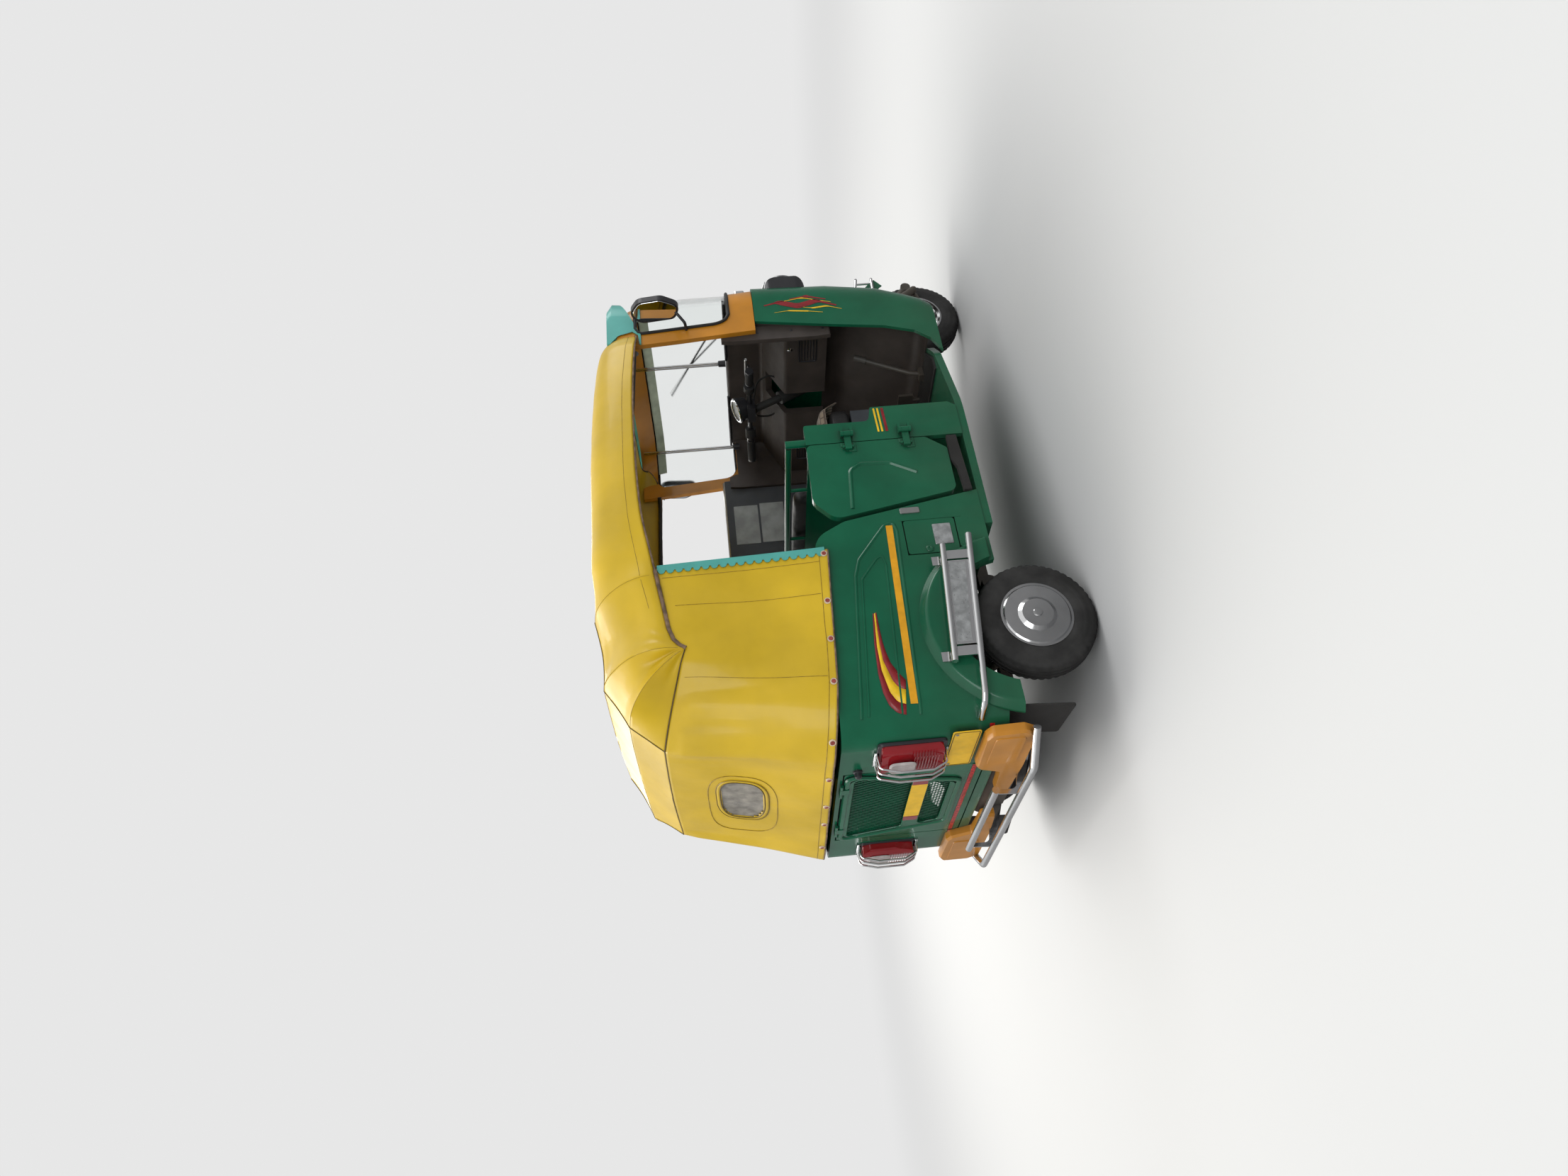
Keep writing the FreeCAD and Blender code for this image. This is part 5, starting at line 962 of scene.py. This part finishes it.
def stitch_row(places, out, radius):
    return sweep([curtain_point(u, v) + curtain_out(u) * out for u, v in places], circle(radius, 6))


cluster("curtain_stitching", "stitch", [
    stitch_row([(u, 0.052) for u in steps(0.01, 0.99, 200)], 0.0035, 0.001),
    *[stitch_row([(at, v) for v in steps(low_v, high_v, 50)], 0.0033, 0.0009)
      for u, low_v, high_v in ((0.018, 0.052, 0.97), (0.068, 0.06, 0.93), (0.19, 0.06, 0.96))
      for at in (u, 1 - u)]])

LOBES, LOBE_STEPS = 19, 12


def teal_trim(side):
    """Scalloped binding down the curtain's front edge, its lobes over the cloth."""
    verts, n = [], LOBES * LOBE_STEPS
    for k in range(n + 1):
        p = curtain_point(0.0 if side < 0 else 1.0, lerp(0.02, 0.985, k / n))
        phase = (2 * (k % LOBE_STEPS) / LOBE_STEPS - 1) / 0.8
        reach = 0.0135 + 0.0125 * math.sqrt(max(0.0, 1 - phase * phase))
        for ahead, out in ((0.009, 0.0045), (-reach, 0.0045), (-reach, 0.0073), (0.009, 0.0073)):
            verts.append(V((p.x + ahead, p.y + side * out, p.z)))
    faces = [(0, 1, 2, 3), tuple(n * 4 + i for i in (3, 2, 1, 0))]
    for a in range(0, 4 * n, 4):
        faces += [(a + i, a + 4 + i, a + 4 + (i + 1) % 4, a + (i + 1) % 4) for i in range(4)]
    return verts, faces


for side, tag in SIDES:
    piece("teal_scallops_" + tag, *teal_trim(side), "teal", smooth=False)


def studs(profile):
    """A turned shape at every stud along the curtain's foot."""
    for run in (0.018, 0.206, 0.351, 0.505, 0.7, 0.93, 1.18):
        for u in (run / RUN_LOW / 2, 1 - run / RUN_LOW / 2):
            way = curtain_out(u)
            spin = V((-1, 0, 0)).rotation_difference(way).to_matrix()
            at = curtain_point(u, 0.024) + way * 0.0025
            verts, faces = lathe(profile, (0, 0, 0), "X", 20, -1)
            yield [at + spin @ v for v in verts], faces


cluster("stud_rings", "cream", studs(
    [(0, 0.0115), (0.0045, 0.0112), (0.006, 0.0095), (0.0052, 0.0078), (0.004, 0.0075)]))
cluster("stud_caps", "stud", studs(
    [(0, 0.0078), (0.005, 0.0076), (0.0068, 0.0058), (0.0062, 0.003), (0.0064, 0)]))


# Seats
PAD_CELLS = (26, 60, 8)
BOX_ROUNDING = 8


def pad_shape(low, high, crown, side_pull, channels=0):
    """A crowned pad with pulled-in sides and sewn channels across it."""
    verts, index, faces = [], {}, []

    def point(key):
        if key not in index:
            a, b, c = unit = [2 * q / n - 1 for q, n in zip(key, PAD_CELLS)]
            size = sum(abs(q) ** BOX_ROUNDING for q in unit) ** (1 / BOX_ROUNDING)
            scale = max(abs(q) for q in unit) / size
            x, y, z = (l + (h - l) * (q * scale + 1) / 2 for l, h, q in zip(low, high, unit))
            if c > 0:
                z += crown * ((1 - a * a) * (1 - b * b)) ** 0.6 * c
            pull = side_pull * (1 - c * c)
            x -= math.copysign(pull * (1 - b * b) * (abs(a) > 0.7), a)
            y -= math.copysign(pull * (1 - a * a) * (abs(b) > 0.9), b)
            if channels and c > 0:
                w = abs(((b + 1) / 2 * channels) % 1 - 0.5) * 2
                z -= 0.007 * max(0, (w - 0.86) / 0.14) ** 1.5 * (1 - a ** 8)
            index[key] = len(verts)
            verts.append(V((x, y, z)))
        return index[key]

    for one, two, fixed in ((0, 1, 2), (1, 2, 0), (0, 2, 1)):
        for p, q, end in product(range(PAD_CELLS[one]), range(PAD_CELLS[two]), (0, PAD_CELLS[fixed])):
            cell = []
            for step_p, step_q in ((0, 0), (1, 0), (1, 1), (0, 1)):
                key = {one: p + step_p, two: q + step_q, fixed: end}
                cell.append(point((key[0], key[1], key[2])))
            faces.append(tuple(cell))
    return verts, faces


def puff(obj, cap):
    """Cloth simulation under a little pressure, held within cap of the start."""
    scene = bpy.context.scene
    remesh = obj.modifiers.new("remesh", "REMESH")
    remesh.mode = "VOXEL"
    remesh.voxel_size = 0.01
    view = bpy.context.evaluated_depsgraph_get()
    mesh = bpy.data.meshes.new_from_object(obj.evaluated_get(view))
    obj.modifiers.clear()
    mat = obj.data.materials[0]
    obj.data = mesh
    mesh.materials.clear()
    mesh.materials.append(mat)
    start = [v.co.copy() for v in mesh.vertices]
    low = min(v.z for v in start)
    cloth = obj.modifiers.new("cloth", "CLOTH")
    cloth.settings.use_pressure = True
    cloth.settings.uniform_pressure_force = 4.0
    cloth.settings.effector_weights.gravity = 0
    cloth.settings.quality = 5
    cloth.point_cache.frame_start, cloth.point_cache.frame_end = 1, 20
    for frame_no in range(1, 21):
        scene.frame_set(frame_no)
    view = bpy.context.evaluated_depsgraph_get()
    moved = [v.co.copy() for v in obj.evaluated_get(view).to_mesh().vertices]
    obj.evaluated_get(view).to_mesh_clear()
    obj.modifiers.clear()
    scene.frame_set(1)
    for vert, a, b in zip(mesh.vertices, start, moved):
        step = b - a
        if step.length > cap:
            step = step.normalized() * cap
        if a.z < low + 0.012:
            step.z = max(0.0, step.z)
        vert.co = a + step
    mesh.polygons.foreach_set("use_smooth", [True] * len(mesh.polygons))


def seat_pad(name, node, shape, cap):
    """A pad puffed up in place of a solid cushion."""
    obj = piece(name, *shape, "seat")
    puff(obj, cap)
    sub = obj.modifiers.new("smooth", "SUBSURF")
    sub.levels = sub.render_levels = 1
    stand_for(obj, node)


def shrink(node, by):
    low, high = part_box(node)
    return V(low) + V((by, by, 0.0005)), V(high) - V((by, by, by))


low, high = shrink("bench_cushion", 0.008)
seat_pad("bench_seat_pad", "bench_cushion",
         pad_shape(low, high - V((0, 0, 0.012)), 0.016, 0.006, 4), 0.01)
low, high = shrink("driver_seat_cushion", 0.007)
seat_pad("driver_seat_pad", "driver_seat_cushion",
         pad_shape(low, high - V((0, 0, 0.022)), 0.012, 0.006), 0.008)
cover_low, cover_high = low + V((0.01, 0.02, 0)), high - V((0.02, 0.02, 0.004))
low, high = shrink("driver_backrest", 0.005)
seat_pad("driver_back_pad", "driver_backrest", pad_shape(low, high - V((0.004, 0, 0)), 0.004, 0.006),
         0.007)


def leaning_back():
    """The bench's backrest: a pad leaned back, with five sewn channels."""
    low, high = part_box("bench_backrest")
    length, lean, thick = 0.5, math.tan(math.radians(10)), 0.095
    verts, faces = pad_shape((0, low[1] + 0.006, 0), (length - 0.008, high[1] - 0.006, thick - 0.016),
                             0.014, 0.005, 5)
    foot = V((low[0] + lean * length + 0.004, 0, low[2] + 0.003))
    rise, face = V((-lean, 0, 1)), V((1, 0, 0))
    return [foot + rise * v.x * 0.985 + face * (v.z + 0.002) + V((0, v.y, 0)) for v in verts], faces


seat_pad("bench_back_pad", "bench_backrest", leaning_back(), 0.008)


def seat_cover(u, v):
    """Checked cloth thrown over the driver's cushion, turned down at its front."""
    x = lerp(cover_low.x - 0.004, cover_high.x + 0.034, u)
    y = lerp(cover_low.y - 0.01, cover_high.y + 0.01, v)
    a, b = 2 * u - 1, 2 * v - 1
    drop = 0.05 * smooth_step((u - 0.9) / 0.1) + 0.018 * smooth_step((abs(b) - 0.93) / 0.07)
    rise = 0.02 * (1 - a ** 4) * (1 - b ** 4)
    fold = 0.003 * noise.noise(V((x * 14, y * 14, 2.2))) + 0.0015 * math.sin(y * 40 + x * 9)
    return V((min(x, cover_high.x + 0.024), y, cover_high.z + 0.012 + rise - drop + fold))


cover = solidify(piece("driver_seat_cover", *grid(seat_cover, 40, 60), "cover"), 0.004, 1.0)


# Cab front: nose outlines shared with the solids, by height: front, rear edge, corner radius
SCREEN = ((1.007, 0.962, 0.626, 0.3), (1.11, 0.952, 0.618, 0.3), (1.31, 0.958, 0.6, 0.3),
          (1.5, 0.9, 0.586, 0.28), (1.572, 0.84, 0.58, 0.27))
APRON = ((0.262, 0.838, 0.44, 0.25), (0.3, 0.852, 0.512, 0.262), (0.36, 0.872, 0.562, 0.28),
         (0.48, 0.926, 0.6, 0.3), (0.69, 0.964, 0.628, 0.3), (1.005, 0.962, 0.676, 0.3))
CAB = 0.52


def nose_line(rows, z, inset=0.0):
    """Plan outline of the nose at a height, from its right rear edge to its left."""
    front, start, turn = along(rows, z)
    front, half, turn = front - inset, CAB - inset, turn - inset
    corners = [V((start, -half)), V((front - 0.016, -half)), V((front, 0)),
               V((front - 0.016, half)), V((start, half))]
    out = [corners[0]]
    for i, radius in ((1, turn), (2, 0.9), (3, turn)):
        here = corners[i]
        before, after = corners[i - 1] - here, corners[i + 1] - here
        angle = before.angle(after)
        reach = min(radius / math.tan(angle / 2), 0.49 * before.length, 0.49 * after.length)
        r = reach * math.tan(angle / 2)
        before, after = before.normalized(), after.normalized()
        centre = here + (before + after).normalized() * (r / math.sin(angle / 2))
        a, b = here + before * reach - centre, here + after * reach - centre
        total = a.angle(b)
        out += [centre + (a * math.sin(total - turned) + b * math.sin(turned)) / math.sin(total)
                for turned in steps(0, total, 14)]
    return [V((p.x, p.y, z)) for p in out + [corners[4]]]


def screen_edge(inset, out):
    """The windscreen opening's edge as a closed loop on the cowl."""
    low, high = 1.108 + inset, 1.5 - inset

    def side_x(z):
        x = lerp(0.676 + inset, 0.644 + inset, (z - low) / (high - low))
        for share, bend in (((z - low) / 0.07, 0.045), ((high - z) / 0.035, 0.03)):
            if share < 1:
                x += bend * (1 - math.sqrt(max(0, 1 - (1 - share) ** 2)))
        return x

    def across(z):
        return [p for p in nose_line(SCREEN, z, -out) if p.x >= side_x(z)][1:-1]

    loop = [V((side_x(z), -CAB - out, z)) for z in steps(low, high, 30)] + across(high)
    loop += [V((side_x(z), CAB + out, z)) for z in steps(high, low, 30)] + across(low)[::-1]
    clean = [loop[0]]
    for p in loop[1:]:
        if (p - clean[-1]).length > 0.004:
            clean.append(p)
    return clean


piece("screen_gasket", *sweep(screen_edge(0.004, 0.0015), circle(0.0085, 8, 0.8), True), "rubber")

rows = [[p for p in nose_line(SCREEN, z, 0.0135) if p.x > 0.655] for z in steps(1.455, 1.494, 4)]
n = min(len(r) for r in rows)
rows = [r[(len(r) - n) // 2:(len(r) - n) // 2 + n] for r in rows]
piece("screen_sun_strip", [p for r in rows for p in r],
      [(i * n + k, i * n + k + 1, (i + 1) * n + k + 1, (i + 1) * n + k)
       for i in range(len(rows) - 1) for k in range(n - 1)], "strip")

# Wiper, screen rods and their sockets
cluster("wiper", "black", [
    bar([(0.966, -0.22, 1.085), (0.97, -0.2, 1.12), (0.968, 0.02, 1.3)], 0.0035, 0.02),
    bar([(0.966, 0.2, 1.395), (0.9675, -0.16, 1.205)], 0.0042, 0.02),
    lathe([(0, 0.014), (0.012, 0.013), (0.016, 0.008), (0.017, 0)], (0.955, -0.22, 1.078), "X", 20)])
ROD_X, ROD_TOP = 0.8, 1.556
cluster("screen_rods", "chrome", [
    bar([(ROD_X, y + step, foot_z), (ROD_X, y + step, ROD_TOP)], radius)
    for y, foot_z in ((0.415, 1.105), (-0.165, 1.15)) for step, radius in ((0, 0.0055), (0.013, 0.0035))])
cluster("rod_sockets", "black", [
    lathe([(0, 0.0), (0, 0.015), (0.03, 0.014), (0.034, 0.009)], (ROD_X, y, foot_z), "Z", 20)
    for y, foot_z in ((0.42, 1.088), (-0.16, 1.133))])

# Trim down the doorway's front edge, inside the cab
JAMB = ((0.598, 1.15), (0.655, 1.15), (0.672, 1.12), (0.668, 0.9), (0.655, 0.745),
        (0.648, 0.7), (0.596, 0.7), (0.59, 0.76), (0.592, 1.1))
cluster("doorway_trims", "brown", [slab(JAMB, on_side(side, 0.4775), 0.02, 0.004) for side in (-1, 1)])
cluster("trim_screws", "black", [
    lathe([(0, 0.006), (0.002, 0.005), (0.003, 0)], (0.632, side * 0.4974, z), "Y", 12, side)
    for z in (0.73, 0.86, 1.0, 1.12) for side in (-1, 1)])

# Dashboard details
VENT_X = 0.6785
vents = []
for y0, y1 in ((-0.4, -0.262), (0.262, 0.4)):
    frame_line = rounded([(VENT_X, y0, 0.745), (VENT_X, y1, 0.745), (VENT_X, y1, 0.818),
                          (VENT_X, y0, 0.818)], 0.008, 4, True)
    vents.append(sweep(frame_line, circle(0.0035, 6), True))
    vents += [bar([(VENT_X + 0.001, y0 + 0.006, 0.757 + k * 0.0125),
                   (VENT_X + 0.001, y1 - 0.006, 0.757 + k * 0.0125)], 0.003, sides=6) for k in range(5)]
cluster("dash_vents", "black", vents)
cluster("dash_bin_lids", "brown", [
    slab(round_rect(y0, 0.845, y1, 0.935, 0.016),
         lambda a, b, h: V((0.7 + max(0, (b - 0.87)) * 1.55 - h, a, b)), 0.01, 0.004)
    for y0, y1 in ((-0.445, -0.14), (0.14, 0.445))])
cluster("bin_knobs", "chrome", [
    lathe([(0, 0.012), (0.008, 0.011), (0.01, 0.006), (0.01, 0)], (0.688, y, 0.858), "X", 20, -1)
    for y in (-0.335, 0.335)])
cluster("dash_top_lip", "black", [bar([(0.858, y0, 1.127), (0.858, y1, 1.127)], 0.006, sides=10)
                                  for y0, y1 in ((-0.47, -0.12), (0.12, 0.47))])

# Handlebar, controls and dial
grips = []
for side in (-1, 1):
    tip, inner = V((0.61, side * 0.3, 1.04)), V((0.658, side * 0.135, 1.04))
    d = (inner - tip).normalized()
    for start, length, radius in (*[(0.01 + k * 0.007, 0.0035, 0.0185) for k in range(14)],
                                  (0.135, 0.045, 0.024)):
        grips.append(sweep([tip + d * start, tip + d * (start + length)], circle(radius, 20)))
cluster("grip_rings", "rubber", grips, "steering")
cluster("hand_levers", "steel", [
    bar([(0.664, side * 0.168, 1.046), (0.69, side * 0.19, 1.05), (0.676, side * 0.3, 1.05),
         (0.668, side * 0.312, 1.05)], 0.0055, 0.02) for side in (-1, 1)], "steering")
axis_up = V((-0.35, 0, 0.94)).normalized()
spin = V((0, 0, 1)).rotation_difference(axis_up).to_matrix()
at = V((0.676, 0, 1.0543)) + axis_up * 0.0485
verts, faces = lathe([(0, 0.0), (0, 0.044)], (0, 0, 0), "Z", 40)
piece("dial_face", [at + spin @ v for v in verts], faces, "sheet", "steering")
bezel = [at + spin @ V((a, b, 0.002)) for a, b in circle(0.05, 48)]
piece("dial_bezel", *sweep(bezel, circle(0.004, 8), True), "chrome", "steering")
cluster("control_cables", "rubber", [
    bar([(0.69, y, 1.02), (0.745, y + dy, 1.0), (0.765, y + dy * 1.3, 0.93), (0.745, y * 0.6, 0.85)],
        0.004, 0.05, 8) for y, dy in ((-0.03, -0.06), (0.02, 0.05), (0.045, 0.1))], "steering")

# Headlamps, indicators, mirrors
cluster("headlamp_rims", "chrome", [
    sweep([V((0.977, side * 0.415 + a, 0.866 + b)) for a, b in circle(0.064, 48)],
          circle(0.005, 8), True) for side in (-1, 1)])
brows = cluster("headlamp_brows", "chrome", [
    grid(lambda u, v: V((lerp(0.858, 0.95, u), side * lerp(0.352, 0.478, v),
                         0.9595 + 0.006 * math.sin(math.pi * v) - 0.022 * u * u)), 10, 12)
    for side in (-1, 1)])
solidify(brows, 0.002, 1.0)
cluster("indicator_lenses", "amber", [
    slab(round_rect(y - 0.026, 1.036, y + 0.026, 1.068, 0.006),
         lambda a, b, h: V((0.954 + h, a, b)), 0.005, 0.002) for y in (-0.402, 0.402)])
MIRROR = ((-0.056, -0.024), (-0.02, -0.094), (0.038, -0.072), (0.053, 0.052), (0.008, 0.098),
          (-0.046, 0.06))
cluster("mirror_faces", "mirror", [
    slab([(side * (0.598 - a), 1.408 + b) for a, b in outline(MIRROR, 0.036, 6)],
         lambda a, b, h: V((0.69 - h, a, b)), 0.002, 0.001) for side in (-1, 1)])


# Flames on the apron's sides
def apron_lift(side):
    def lift(a, b, h):
        front, start, turn = along(APRON, b)
        if a <= front - 0.016 - 0.49 * (front - 0.016 - start):
            return V((a, side * (CAB + h), b))
        line = nose_line(APRON, b, -h)[::-side]
        reach = reaches(line)
        for k, p in enumerate(line[:-1]):
            if reach[k + 1] >= a - start:
                return p.lerp(line[k + 1], (a - start - reach[k]) / (reach[k + 1] - reach[k]))
        return line[-1]
    return lift


FLAMES = {
    "red": (([(0.735, 0.66), (0.77, 0.74), (0.745, 0.82), (0.775, 0.9), (0.76, 0.96)], 0.03),
            ([(0.775, 0.7), (0.8, 0.78), (0.79, 0.85)], 0.018)),
    "yellow": (([(0.712, 0.64), (0.735, 0.7), (0.728, 0.76), (0.742, 0.82)], 0.008),
               ([(0.7, 0.72), (0.712, 0.78), (0.722, 0.86), (0.716, 0.92)], 0.007),
               ([(0.756, 0.68), (0.792, 0.8), (0.77, 0.93)], 0.007)),
}


def flame(points, width, side):
    """A tongue that swells in the middle and thins to its tip."""
    path = outline(points, 0.05, 8, False)
    last = len(path) - 1
    widths = [width * math.sin(math.pi * (0.06 + 0.9 * i / last)) ** 0.8 for i in range(last + 1)]
    return ribbon(path, widths, apron_lift(side), 0.001)


for side, tag in SIDES:
    for color, tongues in FLAMES.items():
        cluster(f"flame_{color}_{tag}", "decal_" + color, [flame(*row, side) for row in tongues])

# Door and pillar details
y_out = -HALF - 0.003
crease = rounded([(-0.385, y_out, 0.752), (-0.214, y_out, 0.738), (-0.188, y_out, 0.7),
                  (-0.194, y_out, 0.59), (-0.245, y_out, 0.5)], 0.035, 8)
piece("door_pressings", *sweep(crease, [(-0.01, -0.001), (-0.003, 0.0044), (0.001, 0.005),
                                        (0.005, 0.002), (0.008, -0.001)], False, V((0, -1, 0))),
      "green", "passenger_door")
HINGES = (0.516, 0.731)
cluster("hinge_bolts", "green", [
    lathe([(0, 0.0055), (0.004, 0.005), (0.005, 0)], (x, -0.632, z + dz), "Y", 6, -1)
    for z in HINGES for x, dz in ((-0.112, -0.016), (-0.112, 0.016), (-0.098, 0.0))], "passenger_door")
cluster("hinge_plates", "green", [
    slab([(-0.13, z - 0.03), (-0.088, z - 0.03), (-0.088, z + 0.026), (-0.104, z + 0.026),
          (-0.13, z - 0.006)], on_side(-1, 0.6232), 0.004, 0.002) for z in HINGES], "passenger_door")
for side, tag in SIDES:
    for k, (z, mat, wide) in enumerate(((0.608, "decal_yellow", 0.007), (0.594, "decal_yellow", 0.007),
                                        (0.577, "decal_red", 0.01))):
        line = [(lerp(-0.044, 0.07, t), z + 0.004 * t) for t in steps(0, 1, 4)]
        piece(f"pillar_stripe_{tag}_{k}", *ribbon(line, wide, on_side(side), 0.001), mat)
step = slab([(-0.345, 0.318), (-0.092, 0.33), (-0.092, 0.366), (-0.2, 0.368), (-0.24, 0.352),
             (-0.345, 0.346)], on_side(-1, HALF - 0.006), 0.018, 0.003)
piece("door_step", *step, "rubber")

# Floor mat ribs
ribs = []
for k in range(26):
    x = 0.388 + k * 0.0058
    half_y = 0.48 if x < 0.43 else lerp(0.48, 0.4, (x - 0.43) / 0.115)
    ribs += [bar([(x, y0, 0.3068), (x, y1, 0.3068)], 0.0016, sides=6)
             for y0, y1 in ((-half_y, -0.05), (0.05, half_y))]
cluster("mat_ribs", "rubber", ribs)


# Left barrier: blank sheets and the cap of its edge
def barrier_lift(a, b, h):
    return V((a, lerp(0.575, 0.485, (a - 0.005) / 0.635) - h, b))


cluster("barrier_sheets", "sheet", [
    slab(round_rect(*box, 0.003), lambda a, b, h: barrier_lift(a, b, h + 0.0005), 0.0012, 0.0005)
    for box in ((0.297, 0.905, 0.505, 1.02), (0.294, 1.03, 0.498, 1.145))])
piece("barrier_cap", *sweep([barrier_lift(a, 1.1795, -0.009) for a in steps(0.008, 0.636, 12)],
                            circle(0.0105, 10, 0.6)), "steel")

# Blank plates on the side guards
for side, tag in SIDES:
    blank = slab([(-0.985, 0.455), (-0.683, 0.418), (-0.681, 0.476), (-0.983, 0.5)],
                 on_side(side, 0.6841), 0.0015, 0.001)
    piece("side_guard_blank_" + tag, *blank, "grey_plate")


# Stage, light and camera
PALE = (0.8, 0.8, 0.8, 1)


def background_share(tree):
    """1 where the camera or glass looks at the background, and a third for a reflection."""
    path = wire(tree, "LightPath").outputs
    through = wire(tree, "Math", (0, path["Is Camera Ray"]), (1, path["Is Transmission Ray"]),
                   operation="MAXIMUM")
    share = wire(tree, "Math", (0, path["Is Glossy Ray"]), (1, 0.33), (2, through.outputs[0]),
                 operation="MULTIPLY_ADD", use_clamp=True)
    return share.outputs[0], path["Is Glossy Ray"]


def mix_shaders(tree, factor, first, second):
    return wire(tree, "MixShader", (0, factor), (1, first.outputs[0]), (2, second.outputs[0]))


def floor_material():
    """Pale ground that fades into the background away from the part."""
    mat = bpy.data.materials.new("studio_floor")
    mat.use_nodes = True
    tree = mat.node_tree
    ramp = wire(tree, "ValToRGB", ("Fac", wire(tree, "TexNoise", ("Scale", 3.0)).outputs["Fac"]))
    for element, shade in zip(ramp.color_ramp.elements, (0.56, 0.6)):
        element.color = (shade, shade, shade - 0.005, 1)
    ground = feed(tree, tree.nodes["Principled BSDF"], ("Roughness", 0.75),
                  ("Base Color", ramp.outputs["Color"]))
    away = wire(tree, "VectorMath", (0, wire(tree, "TexCoord").outputs["Object"]), operation="LENGTH")
    fade = wire(tree, "MapRange", ("Value", away.outputs["Value"]), ("From Min", 2.4),
                ("From Max", 9.0), interpolation_type="SMOOTHSTEP")
    share, glossy = background_share(tree)
    seen = wire(tree, "Math", (0, fade.outputs["Result"]), (1, share), operation="MULTIPLY")
    reflected = wire(tree, "BsdfDiffuse", ("Color", (0.2, 0.2, 0.205, 1)))
    glow = wire(tree, "Emission", ("Color", PALE))
    ground = mix_shaders(tree, glossy, ground, reflected)
    surface = mix_shaders(tree, seen.outputs[0], ground, glow)
    feed(tree, tree.nodes["Material Output"], ("Surface", surface.outputs[0]))
    return mat


def floor():
    n = 48
    verts = [(0, 0, 0)] + [(*p, 0) for radius in (3, 10, 60) for p in circle(radius, n)]
    faces = []
    for k in range(1, n + 1):
        m = k % n + 1
        faces += [(0, k, m), (k, k + n, m + n, m), (k + n, k + 2 * n, m + 2 * n, m + n)]
    mesh = bpy.data.meshes.new("studio_floor")
    mesh.from_pydata(verts, [], faces)
    mesh.materials.append(floor_material())
    obj = bpy.data.objects.new("studio_floor", mesh)
    bpy.context.scene.collection.objects.link(obj)


def world():
    """A sky that darkens towards the ground for what it lights, pale where it is seen."""
    studio = bpy.data.worlds.new("studio")
    bpy.context.scene.world = studio
    studio.use_nodes = True
    tree = studio.node_tree
    split = wire(tree, "SeparateXYZ", (0, wire(tree, "TexCoord").outputs["Generated"]))
    sky = wire(tree, "ValToRGB", ("Fac", split.outputs["Z"]))
    stops = sky.color_ramp.elements
    stops[0].color = (0.14, 0.14, 0.14, 1)
    for height, shade in ((0.06, 0.12), (0.2, 0.22), (0.42, 0.75)):
        stops.new(height).color = (shade * 0.96, shade * 0.98, shade, 1)
    stops[-1].color = (1.0, 1.0, 1.0, 1)
    soft = feed(tree, tree.nodes["Background"], ("Strength", 1.0), ("Color", sky.outputs["Color"]))
    seen = wire(tree, "Background", ("Color", PALE), ("Strength", 1.0))
    pick = mix_shaders(tree, background_share(tree)[0], soft, seen)
    feed(tree, tree.nodes["World Output"], ("Surface", pick.outputs[0]))


def lamps():
    for name, at, aim, size, power, tint in (
            ("key_light", (-1.5, 2.5, 5.5), (0, 0, 1.2), (5.0, 3.5), 270, (1.0, 0.98, 0.94)),
            ("fill_light", (-3.5, -5.0, 3.2), (0, 0, 0.8), (4.5, 2.5), 110, (0.95, 0.98, 1.0)),
            ("front_light", (5.0, -2.5, 3.0), (0, 0, 0.9), (3.0, 2.5), 90, (1.0, 1.0, 1.0)),
            ("edge_light", (2.0, 5.0, 3.0), (0, 0, 0.9), (4.0, 2.0), 90, (1.0, 0.98, 0.95))):
        data = bpy.data.lights.new(name, "AREA")
        data.shape = "RECTANGLE"
        data.size, data.size_y = size
        data.energy, data.color = power, tint
        lamp = bpy.data.objects.new(name, data)
        bpy.context.scene.collection.objects.link(lamp)
        lamp.location = at
        lamp.rotation_euler = (V(aim) - V(at)).to_track_quat("-Z", "Y").to_euler()


def photo_camera():
    """The photograph's own camera, which stood on its side."""
    yaw, pitch, roll, focal, photo_width = 1.01457, -0.05805, -0.0871, 1502.55, 2212
    ahead = V((math.cos(pitch) * math.cos(yaw), math.cos(pitch) * math.sin(yaw), math.sin(pitch)))
    right = V((math.sin(yaw), -math.cos(yaw), 0))
    up = right.cross(ahead)
    across = right * math.cos(roll) + up * math.sin(roll)
    upward = up * math.cos(roll) - right * math.sin(roll)
    data = bpy.data.cameras.new("photo_camera")
    data.sensor_width = 36.0
    data.lens = focal / photo_width * data.sensor_width
    camera = bpy.data.objects.new("photo_camera", data)
    bpy.context.scene.collection.objects.link(camera)
    turn = Matrix((-upward, across, -ahead)).transposed()
    camera.matrix_world = Matrix.Translation((-2.57234, -3.65398, 1.23539)) @ turn.to_4x4()
    bpy.context.scene.camera = camera


floor()
world()
lamps()
photo_camera()
bpy.context.scene.view_settings.view_transform = "Standard"
